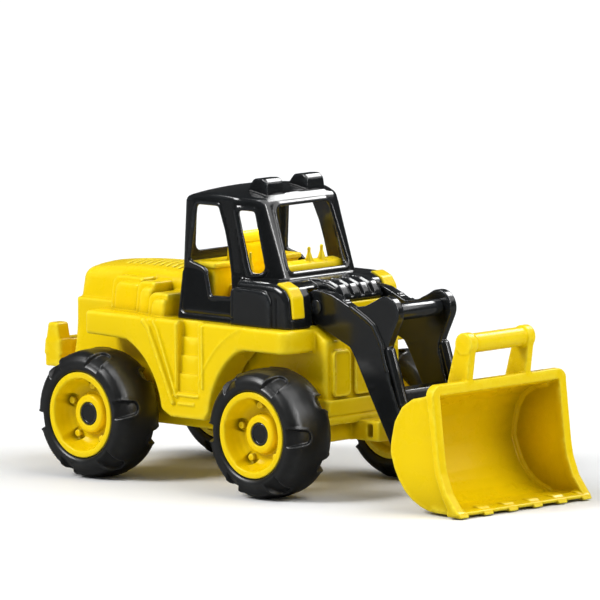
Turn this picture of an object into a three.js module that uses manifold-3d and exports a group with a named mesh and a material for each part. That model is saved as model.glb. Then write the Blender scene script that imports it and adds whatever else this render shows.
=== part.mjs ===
// Toy front loader: moulded body, hollow cab, four wheels on steel axles, and a
// lifting arm that carries a tilting bucket. Millimetres, +X forward, +Y left, +Z up.
// Every X below is measured forward of the front axle; the whole group is then shifted
// so that the origin is under the middle of the vehicle.
import * as THREE from 'three';
import { mergeVertices } from 'three/addons/utils/BufferGeometryUtils.js';
import { ConvexGeometry } from 'three/addons/geometries/ConvexGeometry.js';
import Module from 'manifold-3d';

const wasm = await Module();
wasm.setup();

// ---------------------------------------------------------------- driving dimensions
const REAR_END_X = -366;
const BUCKET_EDGE_X = 256;
const ORIGIN_SHIFT = -(REAR_END_X + BUCKET_EDGE_X) / 2;
const GAP = 0.3;
const WALL = 3;

const WHEELBASE = 239;
const AXLE_Z = 65;
const AXLE_RADIUS = 4;
const AXLE_HALF = 113;
const WHEEL_RADIUS = 65;
const TYRE_WIDTH = 60;
const WHEEL_MID_Y = 99.5;
const RIM_RADIUS = 43.5;
const RIM_FACE = 27.9;
const BOLT_CIRCLE = 28.7;
const BOLTS_PER_WHEEL = 5;
const CAP_RADIUS = 11.4;
const WHEEL_SEGMENTS = 28;
const SPACER_INNER_END = -49.3;
const SPACER_OUTER_END = -23.3;

const BODY_HALF = 96;
const DECK_Z = 166;
const SKIRT_Z = 68;
const FENDER_Z = 143;
const REAR_ARCH_RADIUS = 83.5;
const FRONT_ARCH_RADIUS = 90;
const FENDER_REAR_X = -262;
const FENDER_FRONT_X = 18;
const HULL_HALF = 53;
const HULL_REAR_X = -317;
const HULL_FLOOR_Z = 82;
const WELL_HALF = 64;
const WAIST_X = [-150, -84];
const NOSE_X = 34;
const NOSE_TOP_Z = 154;
const CENTRE_NOSE_HALF = 30.5;
const CENTRE_NOSE_Z = 191;
const TRAY_Z = 52;
const TONGUE_HALF = 12;
const TONGUE_END_X = 66;

const CAB_REAR_X = -150;
const CAB_ROOF_Z = 287;
const COWL_X = 10;
const COWL_Z = 211;
const COWL_HALF = 84;
const CAB_FLOOR_Z = 184;

const ARM_INNER = 33.3;
const ARM_OUTER = 45;
const ARM_PIVOT = { x: 13, z: 187 };
const LUG = { x: 105, z: 187 };
const BUCKET_PIVOT = { x: 130, z: 52 };
const BEAM_SCREW = { x: 104, z: 100 };
const PIN_RADIUS = 5;
const SPIGOT_RADIUS = 4;
const SPIGOT_DEPTH = 6;
const SCREW_RADIUS = 1.3;

const BUCKET_HALF = 89.3;
const BUCKET_RIM_HALF = 97;
const BUCKET_INNER = 86.3;
const TOOTH_COUNT = 6;
const HANDLE_OUTER = 46.2;
const HANDLE_INNER = 37.5;

// ---------------------------------------------------------------- solids
function signedVolume(positions, index) {
  let sum = 0;
  const corner = [new THREE.Vector3(), new THREE.Vector3(), new THREE.Vector3()];
  for (let i = 0; i < index.length; i += 3) {
    corner.forEach((v, k) => v.fromArray(positions, 3 * index[i + k]));
    sum += corner[0].dot(corner[1].clone().cross(corner[2]));
  }
  return sum / 6;
}

function toSolid(geometry) {
  geometry.deleteAttribute('normal');
  geometry.deleteAttribute('uv');
  const merged = mergeVertices(geometry, 1e-4);
  const positions = new Float32Array(merged.attributes.position.array);
  const index = new Uint32Array(merged.index.array);
  if (signedVolume(positions, index) < 0) index.reverse();
  const mesh = new wasm.Mesh({ numProp: 3, vertProperties: positions, triVerts: index });
  return new wasm.Manifold(mesh);
}

function toGeometry(solid) {
  const mesh = solid.getMesh();
  const geometry = new THREE.BufferGeometry();
  geometry.setAttribute('position', new THREE.BufferAttribute(new Float32Array(mesh.vertProperties), 3));
  geometry.setIndex(new THREE.BufferAttribute(new Uint32Array(mesh.triVerts), 1));
  geometry.computeVertexNormals();
  return geometry;
}

function box(x0, x1, y0, y1, z0, z1) {
  const geometry = new THREE.BoxGeometry(x1 - x0, y1 - y0, z1 - z0);
  geometry.translate((x0 + x1) / 2, (y0 + y1) / 2, (z0 + z1) / 2);
  return toSolid(geometry);
}

// An outline in the X-Z plane, given the width of y0 to y1.
function plate(points, y0, y1) {
  const shape = new THREE.Shape(points.map(([x, z]) => new THREE.Vector2(x, z)));
  const geometry = new THREE.ExtrudeGeometry(shape, { depth: y1 - y0, bevelEnabled: false });
  geometry.rotateX(Math.PI / 2);
  geometry.translate(0, y1, 0);
  return toSolid(geometry);
}

// An outline in the Y-Z plane, given the length of x0 to x1.
function frontPlate(points, x0, x1) {
  const shape = new THREE.Shape(points.map(([y, z]) => new THREE.Vector2(y, z)));
  const geometry = new THREE.ExtrudeGeometry(shape, { depth: x1 - x0, bevelEnabled: false });
  geometry.rotateX(Math.PI / 2);
  geometry.rotateZ(Math.PI / 2);
  geometry.translate(x0, 0, 0);
  return toSolid(geometry);
}

// A round bar along Y.
function bar(radius, y0, y1, x, z, sides = 24) {
  const geometry = new THREE.CylinderGeometry(radius, radius, y1 - y0, sides);
  geometry.translate(x, (y0 + y1) / 2, z);
  return toSolid(geometry);
}

// A round post along Z.
function post(radius, z0, z1, x, y, sides = 10) {
  const geometry = new THREE.CylinderGeometry(radius, radius, z1 - z0, sides);
  geometry.rotateX(Math.PI / 2);
  geometry.translate(x, y, (z0 + z1) / 2);
  return toSolid(geometry);
}

// A ring or disc about Y from a closed profile of [radius, y].
function turned(profile, segments = 20) {
  const points = [...profile, profile[0]].map(([r, y]) => new THREE.Vector2(r, y));
  return toSolid(new THREE.LatheGeometry(points, segments));
}

// The straight-sided solid around points [x, y, z], each repeated at -y.
function loft(points) {
  const all = points.flatMap(([x, y, z]) => [new THREE.Vector3(x, y, z), new THREE.Vector3(x, -y, z)]);
  return toSolid(new ConvexGeometry(all));
}

const join = (...parts) => parts.reduce((a, b) => a.add(b));
const cut = (from, ...parts) => parts.reduce((a, b) => a.subtract(b), from);
const mirrorY = (make) => [make(1), make(-1)];

// A plate on the side given by side = 1 (left) or -1 (right).
const sidePlate = (points, inner, outer, side) =>
  side > 0 ? plate(points, inner, outer) : plate(points, -outer, -inner);

function arc(cx, cz, radius, fromDeg, toDeg, steps) {
  return Array.from({ length: steps + 1 }, (_, i) => {
    const angle = THREE.MathUtils.degToRad(fromDeg + ((toDeg - fromDeg) * i) / steps);
    return [cx + radius * Math.cos(angle), cz + radius * Math.sin(angle)];
  });
}

// ---------------------------------------------------------------- body shell
// Side outline: rear fender, both wheel arches, the skirt between them and the shelf.
const skirtOutline = [
  [FENDER_REAR_X, FENDER_Z],
  [FENDER_REAR_X, DECK_Z],
  [FENDER_FRONT_X, DECK_Z],
  [FENDER_FRONT_X, FENDER_Z],
  [-40, FENDER_Z],
  ...arc(0, AXLE_Z, FRONT_ARCH_RADIUS, 123, 173, 6),
  [-96, SKIRT_Z],
  [-143, SKIRT_Z],
  ...arc(-WHEELBASE, AXLE_Z, REAR_ARCH_RADIUS, 7, 66, 7),
];

const hoodRings = (inset) => [
  [HULL_REAR_X + inset, 58 - inset, 120],
  [CAB_REAR_X - 1 - inset, 58 - inset, 120],
  [HULL_REAR_X + inset, 58 - inset, 131],
  [CAB_REAR_X - 1 - inset, 60 - inset, 150],
  [-316 + inset, 44 - inset, 196 - inset],
  [CAB_REAR_X - 1 - inset, 46 - inset, 198 - inset],
  [-312 + inset, 34 - inset, 204 - inset],
  [CAB_REAR_X - 1 - inset, 34 - inset, 207 - inset],
  [-285, 26 - inset, 210 - inset],
];

// Each block steps further out from the hood: [rear X, front X, half width, top Z].
const sideBlocks = [
  [-255, -212, 70, 199],
  [-213, -188, 76, 197],
  [-189, -178, 82, 194],
];

const stepTreads = [
  { z: 150, depth: 9 },
  { z: 131.5, depth: 6.5 },
  { z: 113, depth: 4 },
  { z: 94.5, depth: 2 },
];

function bodyShell() {
  const skirt = join(...mirrorY((side) => sidePlate(skirtOutline, WELL_HALF, BODY_HALF, side)));
  const deck = box(FENDER_REAR_X, FENDER_FRONT_X, -WELL_HALF - 1, WELL_HALF + 1, FENDER_Z, DECK_Z);
  const hull = box(HULL_REAR_X, NOSE_X, -HULL_HALF, HULL_HALF, HULL_FLOOR_Z, NOSE_TOP_Z);
  const waist = box(...WAIST_X, -WELL_HALF - 1, WELL_HALF + 1, HULL_FLOOR_Z, FENDER_Z + 1);
  const noseSide = [[COWL_X + GAP, 150], [COWL_X + GAP, 168.5], [NOSE_X, NOSE_TOP_Z], [NOSE_X, 150]];
  const noseTop = plate(noseSide, -HULL_HALF, HULL_HALF);
  const centreNose = box(-20, NOSE_X + 1, -CENTRE_NOSE_HALF, CENTRE_NOSE_HALF, 140, CENTRE_NOSE_Z);
  const bumper = box(NOSE_X - 4, NOSE_X + 4, -HULL_HALF, HULL_HALF, HULL_FLOOR_Z, 95);
  const blocks = sideBlocks.map(([x0, x1, half, top]) => box(x0, x1, -half, half, DECK_Z - 1, top));
  const outer = join(skirt, deck, hull, waist, noseTop, centreNose, bumper, loft(hoodRings(0)), ...blocks);

  const insides = [
    box(HULL_REAR_X + WALL, NOSE_X - WALL, -HULL_HALF + WALL, HULL_HALF - WALL, 70, DECK_Z - WALL),
    box(WAIST_X[0] + WALL, WAIST_X[1] - WALL, -WELL_HALF, WELL_HALF, 70, FENDER_Z),
    loft(hoodRings(WALL)),
    box(-12, NOSE_X + 1 - WALL, -CENTRE_NOSE_HALF + WALL, CENTRE_NOSE_HALF - WALL, 130, CENTRE_NOSE_Z - WALL),
    box(CAB_REAR_X + 8, -34, -62, 62, 150, DECK_Z + 1),
  ];
  const skirtHollow = mirrorY((s) => sidePlate([
    [-143, SKIRT_Z - 2], [-98, SKIRT_Z - 2], [-84, 120], [-64, FENDER_Z + 4], [-64, DECK_Z - WALL],
    [-178, DECK_Z - WALL], [-178, FENDER_Z - 4], [-156, 110],
  ], WELL_HALF - 1, BODY_HALF - 12, s));
  const vents = Array.from({ length: 11 }, (_, i) => box(-279 + 9 * i, -275.5 + 9 * i, -25, 25, 190, 220));
  const treads = stepTreads.flatMap(({ z, depth }) => mirrorY((s) => {
    const [a, b] = s > 0 ? [BODY_HALF - depth, BODY_HALF + 1] : [-BODY_HALF - 1, -BODY_HALF + depth];
    return box(-131, -97, a, b, z, z + 18);
  }));
  const screwHoles = chassisScrewPlaces().map(([x, y]) => post(1.6, 80, 100, x, y, 8));
  const bosses = chassisScrewPlaces().map(([x, y]) => post(6.5, 82, 150, x, y));
  const shell = join(cut(outer, ...insides, ...skirtHollow), ...bosses);
  return cut(shell, ...vents, ...treads, ...screwHoles, pivotHole(), armRecess());
}

// The pivot rod runs through the middle of the nose.
function pivotHole() {
  return bar(PIN_RADIUS + GAP, -ARM_INNER, ARM_INNER, ARM_PIVOT.x, ARM_PIVOT.z);
}

// Room for the round rear ends of the two arms beside the middle of the nose.
function armRecess() {
  return join(...mirrorY((s) => {
    const [a, b] = s > 0 ? [ARM_INNER - 2, ARM_OUTER + 2] : [-ARM_OUTER - 2, -ARM_INNER + 2];
    return bar(19, a, b, ARM_PIVOT.x, ARM_PIVOT.z, 28);
  }));
}

// ---------------------------------------------------------------- chassis and axles
function chassisScrewPlaces() {
  return [-290, -150, -60].flatMap((x) => [[x, 44], [x, -44]]);
}

const axlePlaces = [
  { name: 'front', x: 0 },
  { name: 'rear', x: -WHEELBASE },
];

function chassisBase() {
  const half = HULL_HALF - WALL - GAP;
  const top = HULL_FLOOR_Z - GAP;
  const tray = box(-313, 29, -half, half, TRAY_Z, top);
  const room = box(-310, 26, -half + WALL, half - WALL, TRAY_Z + WALL, 90);
  const ribs = [-240, -150, -60].map((x) => box(x - 1.5, x + 1.5, -half + 1, half - 1, 54, 74));
  const bosses = axlePlaces.map(({ x }) => bar(10, -half + 1, half - 1, x, AXLE_Z));
  const tongue = box(25, TONGUE_END_X, -TONGUE_HALF, TONGUE_HALF, TRAY_Z, 73);
  const tongueSlot = box(50, 57, -TONGUE_HALF - 1, TONGUE_HALF + 1, 56, 69);
  const screwPosts = chassisScrewPlaces().map(([x, y]) => post(5, 53, top, x, y));
  const screwBores = chassisScrewPlaces().flatMap(([x, y]) => [
    post(2.3, 40, 90, x, y),
    post(4.6, 51, 58, x, y),
  ]);
  const axleBores = axlePlaces.map(({ x }) => bar(AXLE_RADIUS + GAP, -60, 60, x, AXLE_Z));
  const solid = join(cut(tray, room), ...ribs, ...bosses, tongue, ...screwPosts);
  return cut(solid, tongueSlot, ...screwBores, ...axleBores);
}

// A self-tapping screw standing upside down in its post.
function chassisScrew(x, y) {
  return join(post(4.2, 53.5, 57.6, x, y), post(SCREW_RADIUS, 57, 97, x, y, 8));
}

function rearHitch() {
  const rail = box(REAR_END_X, -343, -50, 50, 97, 125);
  const horns = mirrorY((s) => plate(
    [[-365, 124], [-361, 142], [-350, 142], [-345, 124]], s > 0 ? 33 : -50, s > 0 ? 50 : -33));
  const stem = box(-344, -317 - GAP, -24, 24, 99, 122);
  return join(rail, stem, ...horns);
}

// ---------------------------------------------------------------- wheels
// Profiles are [radius, distance out from the middle of the wheel].
function tyre() {
  const w = TYRE_WIDTH / 2;
  const r = WHEEL_RADIUS;
  const outerSkin = [
    [RIM_RADIUS + GAP, w - 2], [50, w], [58, w - 3], [63, w - 10], [r, w - 20],
    [r, 20 - w], [63, 10 - w], [58, 3 - w], [50, -w], [RIM_RADIUS + GAP, 2 - w],
  ];
  const innerSkin = [
    [RIM_RADIUS + GAP, 7 - w], [55, 6 - w], [60.5, 16 - w], [60.5, w - 16], [55, w - 6],
    [RIM_RADIUS + GAP, w - 7],
  ];
  return turned([...outerSkin, ...innerSkin], WHEEL_SEGMENTS);
}

function rimOuter() {
  const f = RIM_FACE;
  const disc = turned([
    [AXLE_RADIUS + GAP, f - 12], [16.5, f - 12], [18.8, f - 13.2], [20.2, f - 19.5], [29, f - 19],
    [35.4, f - 7], [37, f], [RIM_RADIUS, f], [RIM_RADIUS, 0.2],
    [RIM_RADIUS - 2.5, 0.2], [RIM_RADIUS - 2.5, f - 4],
    [39.5, f - 9], [32, f - 22.5], [14, f - 22.8], [9, 0.2], [AXLE_RADIUS + GAP, 0.2],
  ], WHEEL_SEGMENTS);
  const seat = turned([[0.5, f - 17.5], [CAP_RADIUS + GAP, f - 17.5], [CAP_RADIUS + GAP, f], [0.5, f]]);
  const bolts = Array.from({ length: BOLTS_PER_WHEEL }, (_, i) => {
    const angle = THREE.MathUtils.degToRad(90 + (360 / BOLTS_PER_WHEEL) * i);
    return bar(3.6, f - 20, f - 13.5, BOLT_CIRCLE * Math.cos(angle), BOLT_CIRCLE * Math.sin(angle), 8);
  });
  return cut(join(disc, ...bolts), seat);
}

function rimInner() {
  const f = RIM_FACE;
  return turned([
    [AXLE_RADIUS + GAP, -0.2], [9, -0.2], [11, 8 - f], [35, 12 - f], [RIM_RADIUS - 2.5, 4 - f],
    [RIM_RADIUS - 2.5, -0.2], [RIM_RADIUS, -0.2], [RIM_RADIUS, -f], [39, -f], [34, 9 - f], [12, 5 - f],
    [AXLE_RADIUS + GAP, 5 - f],
  ], WHEEL_SEGMENTS);
}

// A push-on cap that hides the axle's end.
function axleCap() {
  const y = RIM_FACE - 17.2;
  const cap = turned([
    [0.001, y], [CAP_RADIUS, y], [CAP_RADIUS, y + 5.5], [CAP_RADIUS - 2, y + 7], [0.001, y + 7],
  ], 20);
  return cut(cap, bar(AXLE_RADIUS + 0.1, y - 1, AXLE_HALF - WHEEL_MID_Y + 0.3, 0, 0, 24));
}

const axleSpacer = () => turned([
  [AXLE_RADIUS + GAP, SPACER_INNER_END], [8, SPACER_INNER_END],
  [8, SPACER_OUTER_END], [AXLE_RADIUS + GAP, SPACER_OUTER_END],
]);

// ---------------------------------------------------------------- cab
// The cabin narrows a little upwards and has angled front corners.
const cabinRings = (inset) => {
  const low = [
    [CAB_REAR_X + inset, 72 - inset], [-60, 72 - inset], [-33, 57 - inset], [-23.7 - inset, 53.5 - inset],
  ];
  const high = [[CAB_REAR_X + inset, 66 - inset], [-82, 67 - inset], [-50.6 - inset, 53.5 - inset]];
  const crown = [[-138, 48], [-66, 46]];
  return [
    ...low.map(([x, y]) => [x, y, COWL_Z]),
    ...high.map(([x, y]) => [x, y, CAB_ROOF_Z - 1.5 * inset]),
    ...crown.map(([x, y]) => [x, y, CAB_ROOF_Z + 11 - inset]),
  ];
};

const doorPanelRings = (inset, bottom) => [
  [CAB_REAR_X + inset, 80 - inset, bottom], [-60, 80 - inset, bottom],
  [CAB_REAR_X + inset, 72 - inset, COWL_Z + 0.5], [-60, 72 - inset, COWL_Z + 0.5],
];

const cowlRings = (inset, bottom) => [
  [-66, COWL_HALF - inset, bottom], [COWL_X - 6 - inset, COWL_HALF - inset, bottom],
  [COWL_X - inset, COWL_HALF - 8 - inset, bottom],
  [COWL_X - inset, COWL_HALF - 8 - inset, 178], [COWL_X - 2 - inset, COWL_HALF - 8 - inset, 197],
  [COWL_X - 8 - inset, COWL_HALF - 8 - inset, 206 - inset],
  [-10 - inset, COWL_HALF - 8 - inset, COWL_Z - inset],
  [-66, COWL_HALF - 3 - inset, 203 - inset], [COWL_X - 12 - inset, COWL_HALF - 3 - inset, 200 - inset],
  [-66, COWL_HALF - 9 - inset, COWL_Z - inset],
];

const doorOpening = [
  [-131, 281], [-101, 281], [-90, 256], [-85, 239], [-76, 199], [-77.5, 193], [-104, 192], [-113, 216],
  [-119, 220], [-137.5, 224.5],
];
const quarterOpening = [
  [-74, 279], [-58.5, 278], [-43.3, 222], [-46, 217.5], [-55, 217], [-58, 225.5],
];

function cabShell() {
  const bottom = DECK_Z + GAP;
  const outer = join(
    loft(cabinRings(0)), loft(doorPanelRings(0, bottom)), loft(cowlRings(0, bottom)), grilleTongue(),
    ...roofLights(),
  );
  const insides = [
    loft(cabinRings(WALL)),
    loft(doorPanelRings(WALL, bottom - 2)),
    loft(cowlRings(WALL, bottom - 2)),
    box(-70, -50, -68, 68, 150, 205),
    box(-20, COWL_X + 2, -CENTRE_NOSE_HALF - GAP, CENTRE_NOSE_HALF + GAP, 160, CENTRE_NOSE_Z + GAP),
  ];
  const windows = [
    plate(doorOpening, -90, 90),
    plate(quarterOpening, -90, 90),
    frontPlate([[-42, 219], [42, 219], [38, 281], [-38, 281]], -70, 0),
    frontPlate([[-54, 232], [54, 232], [50, 279], [-50, 279]], -170, -130),
    box(-62, -32.5, -50, 50, 190, 212),
  ];
  const headlightGrooves = mirrorY((s) => headlightStrip(s, GAP));
  return cut(outer, ...insides, ...windows, ...headlightGrooves, armSlots(), interiorRoom(), pivotHole());
}

// The short grille that reaches forward between the arms.
function grilleTongue() {
  const base = CENTRE_NOSE_Z + GAP;
  const side = [[0, base], [34, base], [34, 199], [26, 210], [0, COWL_Z]];
  return plate(side, -CENTRE_NOSE_HALF, CENTRE_NOSE_HALF);
}

function roofLights() {
  return mirrorY((s) => {
    const [a, b] = s > 0 ? [16, 42] : [-42, -16];
    return plate([[-84, 288], [-80, 305], [-76, 310], [-64, 310], [-59, 304], [-57, 288]], a, b);
  });
}

// Slots in the cowl's front face for the two arms.
function armSlots() {
  return join(...mirrorY((s) => {
    const [a, b] = s > 0 ? [ARM_INNER - 1.5, ARM_OUTER + 2] : [-ARM_OUTER - 2, -ARM_INNER + 1.5];
    return join(bar(20, a, b, ARM_PIVOT.x, ARM_PIVOT.z, 28), box(ARM_PIVOT.x, 40, a, b, 160, 220));
  }));
}

// The cab lining stands inside, clear of the shell.
function interiorRoom() {
  return box(-146.5, -31, -66.5, 66.5, DECK_Z - 1, COWL_Z - 5);
}

// A yellow strip over the cowl's front shoulder; grow enlarges it to cut its groove.
function headlightStrip(side, grow) {
  const outline = [
    [COWL_X + 1 + grow, 177 - grow], [COWL_X + 1 + grow, 180],
    [COWL_X - 1 + grow, 198], [3 + grow, 206 + grow],
    [-9, 211.5 + grow], [-12 - grow, 211.5 + grow], [-12 - grow, 209.2 - grow], [-10, 209 - grow],
    [1 - grow, 204 - grow], [6 - grow, 196], [7.6 - grow, 180], [7.6 - grow, 177 - grow],
  ];
  return sidePlate(outline, 59.5 - grow, 75.5 + grow, side);
}

function cabLining() {
  const floor = box(-146, -32, -65, 65, DECK_Z + GAP, CAB_FLOOR_Z);
  const shelf = box(-146, -119, -52, 52, CAB_FLOOR_Z - 1, 222);
  const seat = box(-120, -84, -27, 27, CAB_FLOOR_Z - 1, 205);
  const backOutline = [[-36, 200], [36, 200], [36, 236], [28, 251], [-28, 251], [-36, 236]];
  const backrest = frontPlate(backOutline, -124, -112);
  const dashSide = [[-58, CAB_FLOOR_Z - 1], [-33, CAB_FLOOR_Z - 1], [-33, 205], [-37, 221], [-50, 221]];
  const dash = plate(dashSide, -46, 46);
  const console = box(-98, -62, -52, -38, CAB_FLOOR_Z - 1, 214);
  const levers = [[-43, -2, 220, 239], [-43, 17, 220, 241], [-78, -45, 213, 234]].map(([x, y, z0, z1]) => {
    const geometry = new THREE.CylinderGeometry(1.6, 5, z1 - z0, 16);
    geometry.rotateX(Math.PI / 2);
    geometry.translate(x, y, (z0 + z1) / 2);
    return toSolid(geometry);
  });
  return join(floor, shelf, seat, backrest, dash, console, ...levers);
}

// ---------------------------------------------------------------- loader arms
const armOutline = [
  ...arc(ARM_PIVOT.x, ARM_PIVOT.z, 17, 85, 250, 12),
  [57.7, 150], [64.6, 140.5], [87.7, 99],
  ...arc(BUCKET_PIVOT.x, BUCKET_PIVOT.z, 12.5, 205, 380, 12),
  [125.1, 91.9], [114.2, 116.2], [106, 146], [109.5, 157],
  ...arc(LUG.x, LUG.z, 17.5, -25, 130, 10),
  [77, 192.5], [60, 190], [45, 196.5], [32, 201.5],
];

function loaderArm(side) {
  const beam = sidePlate(armOutline, ARM_INNER, ARM_OUTER, side);
  const ramOutline = [[104, 150], [111.5, 153], [134, 98], [126, 95]];
  const ram = sidePlate(ramOutline, ARM_INNER + 1, ARM_OUTER - 1, side);
  const [a, b] = side > 0 ? [ARM_INNER - 1, ARM_OUTER + 1] : [-ARM_OUTER - 1, -ARM_INNER + 1];
  const joinHoles = [LUG, BEAM_SCREW].map(({ x, z }) => (side > 0
    ? bar(SCREW_RADIUS + GAP, a, b, x, z, 16)
    : bar(SPIGOT_RADIUS + GAP, -ARM_INNER - SPIGOT_DEPTH - GAP, b, x, z, 16)));
  return cut(
    join(beam, ram),
    bar(PIN_RADIUS + GAP, a, b, ARM_PIVOT.x, ARM_PIVOT.z),
    bar(PIN_RADIUS + GAP, a, b, BUCKET_PIVOT.x, BUCKET_PIVOT.z),
    ...joinHoles,
  );
}

// The spigot that plugs into the right arm, and the bore for the screw from the left one.
const spigot = ({ x, z }) => bar(SPIGOT_RADIUS, -ARM_INNER - SPIGOT_DEPTH, -20, x, z, 16);
const screwBore = ({ x, z }) => bar(SCREW_RADIUS + GAP, 18, ARM_INNER + 1, x, z, 12);

function crossTube() {
  const tube = bar(8.5, -ARM_INNER + GAP, ARM_INNER - GAP, LUG.x, LUG.z, 28);
  return cut(join(tube, spigot(LUG)), screwBore(LUG));
}

function crossBeam() {
  const half = ARM_INNER - GAP;
  const beam = plate([[92, 98], [98, 111], [118, 111], [122, 100], [124, 86], [112, 84]], -half, half);
  return cut(join(beam, spigot(BEAM_SCREW)), screwBore(BEAM_SCREW));
}

// A screw through the left arm from its outer face into the tube or the beam.
function armScrew({ x, z }) {
  const head = bar(SPIGOT_RADIUS, ARM_OUTER + 0.2, ARM_OUTER + 2.4, x, z, 16);
  return join(head, bar(SCREW_RADIUS, 20, ARM_OUTER + 1, x, z, 8));
}

function pivotRod() {
  return bar(PIN_RADIUS, -ARM_OUTER - 0.5, ARM_OUTER + 0.5, ARM_PIVOT.x, ARM_PIVOT.z);
}

// A snap cap on the pivot rod's end, in line with the arm's outer face.
function pivotCap(side) {
  const [a, b] = side > 0 ? [ARM_OUTER + 0.8, ARM_OUTER + 1.8] : [-ARM_OUTER - 1.8, -ARM_OUTER - 0.8];
  return bar(7, a, b, ARM_PIVOT.x, ARM_PIVOT.z, 24);
}

// ---------------------------------------------------------------- bucket
const bucketBack = [
  [202.5, 117], [184.5, 113], [170.5, 104], [160.7, 89], [156, 70], [154.8, 58], [160, 43], [166, 31.5],
  [174, 21], [184, 13], [195, 7.4], [206, 4],
];
const bucketInner = [
  [247.5, 6.8], [206, 6.8], [196, 10], [186, 15], [176.5, 23], [168.5, 33], [163, 44.5], [158, 58],
  [159.2, 70], [163.7, 88], [172.5, 101.5], [186, 110], [203, 114],
];
const bucketMouth = [
  [219.6, 121], [226.6, 58.7], [229.2, 43.8], [237.3, 24.3], [251, 7.2],
];
const bucketSide = [...bucketMouth, [253, 3], [222, 3], ...bucketBack.toReversed(), [212, 121]];

function bucket() {
  const skin = plate([...bucketBack, [222, 3], [253, 3], ...bucketInner, [217, 118], [212, 121]],
    -BUCKET_HALF, BUCKET_HALF);
  const sides = mirrorY((s) => sidePlate(bucketSide, BUCKET_INNER, BUCKET_HALF, s));
  const border = [...bucketMouth, [253, 3], [241, 3], [229.7, 22], [221.5, 42.5], [219, 58], [212, 121]];
  const rimOutline = [...border, [211, 130], [219.5, 130]];
  const rims = mirrorY((s) => sidePlate(rimOutline, BUCKET_INNER, BUCKET_RIM_HALF, s));
  const top = box(211, 219.4, -BUCKET_RIM_HALF, BUCKET_RIM_HALF, 120, 130);
  const shoulder = plate([[202, 116.5], [212, 119], [212, 124]], -BUCKET_HALF, BUCKET_HALF);
  const lip = plate([[238, 3], [BUCKET_EDGE_X - 3, 3], [BUCKET_EDGE_X - 5, 7], [238, 7]],
    -BUCKET_RIM_HALF, BUCKET_RIM_HALF);
  const pitch = (2 * (BUCKET_RIM_HALF - 8)) / (TOOTH_COUNT - 1);
  const toothOutline = [[244, 1], [BUCKET_EDGE_X, 1], [BUCKET_EDGE_X - 2, 4], [246, 8], [244, 8]];
  const teeth = Array.from({ length: TOOTH_COUNT }, (_, i) => {
    const y = -BUCKET_RIM_HALF + 8 + i * pitch;
    return plate(toothOutline, y - 7.5, y + 7.5);
  });
  const post = [[190, 112], [190, 126], ...arc(214, 166, 10.5, 165, -10, 8), [217, 126], [217, 112]];
  const posts = mirrorY((s) => sidePlate(post, HANDLE_INNER, HANDLE_OUTER, s));
  const grip = bar(9.8, -HANDLE_INNER - 1, HANDLE_INNER + 1, 214, 166, 28);
  const ear = [
    ...arc(BUCKET_PIVOT.x, BUCKET_PIVOT.z, 11, 100, 260, 10), [165, 32], [159, 46], [157, 60], [159, 74],
  ];
  const ears = mirrorY((s) => sidePlate(ear, 22, 31.5, s));
  const pinBores = mirrorY((s) =>
    bar(PIN_RADIUS + GAP, s > 0 ? 21 : -33, s > 0 ? 33 : -21, BUCKET_PIVOT.x, BUCKET_PIVOT.z));
  const solid = join(skin, ...sides, ...rims, top, shoulder, lip, ...teeth, ...posts, grip, ...ears);
  return cut(solid, ...pinBores);
}

function bucketPin(side) {
  const shank = side > 0 ? [20, ARM_OUTER + 0.5] : [-ARM_OUTER - 0.5, -20];
  const head = side > 0 ? [ARM_OUTER + 0.3, ARM_OUTER + 2.5] : [-ARM_OUTER - 2.5, -ARM_OUTER - 0.3];
  return join(
    bar(PIN_RADIUS, ...shank, BUCKET_PIVOT.x, BUCKET_PIVOT.z),
    bar(8, ...head, BUCKET_PIVOT.x, BUCKET_PIVOT.z),
  );
}

// ---------------------------------------------------------------- assembly
const material = (color, roughness, metalness = 0) =>
  new THREE.MeshStandardMaterial({ color, roughness, metalness });
const YELLOW = material(0xf2d002, 0.38);
const BLACK = material(0x202326, 0.35);
const TYRE_BLACK = material(0x25272a, 0.55);
const STEEL = material(0x9a9da1, 0.3, 1);

const loader = new THREE.Group();
loader.position.x = ORIGIN_SHIFT;

function addPart(name, solid, look, place = new THREE.Vector3(), parent = loader) {
  const mesh = new THREE.Mesh(toGeometry(solid), look.clone());
  mesh.name = name;
  mesh.position.copy(place);
  parent.add(mesh);
  return mesh;
}

addPart('body_shell', bodyShell(), YELLOW);
addPart('chassis_base', chassisBase(), YELLOW);
addPart('rear_hitch', rearHitch(), YELLOW);
addPart('cab_shell', cabShell(), BLACK);
addPart('cab_lining', cabLining(), YELLOW);
addPart('headlight_left', headlightStrip(1, 0), YELLOW);
addPart('headlight_right', headlightStrip(-1, 0), YELLOW);

for (const { name, x } of axlePlaces) {
  const axle = bar(AXLE_RADIUS, -AXLE_HALF, AXLE_HALF, 0, 0, 32);
  addPart(`axle_${name}`, axle, STEEL, new THREE.Vector3(x, 0, AXLE_Z));
  for (const [sideName, side] of [['left', 1], ['right', -1]]) {
    const corner = new THREE.Group();
    corner.position.set(x, side * WHEEL_MID_Y, AXLE_Z);
    if (side < 0) corner.rotation.z = Math.PI;
    loader.add(corner);
    const origin = new THREE.Vector3();
    addPart(`tyre_${name}_${sideName}`, tyre(), TYRE_BLACK, origin, corner);
    addPart(`rim_outer_${name}_${sideName}`, rimOuter(), YELLOW, origin, corner);
    addPart(`rim_inner_${name}_${sideName}`, rimInner(), YELLOW, origin, corner);
    addPart(`axle_cap_${name}_${sideName}`, axleCap(), BLACK, origin, corner);
    addPart(`axle_spacer_${name}_${sideName}`, axleSpacer(), BLACK, origin, corner);
  }
}

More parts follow.
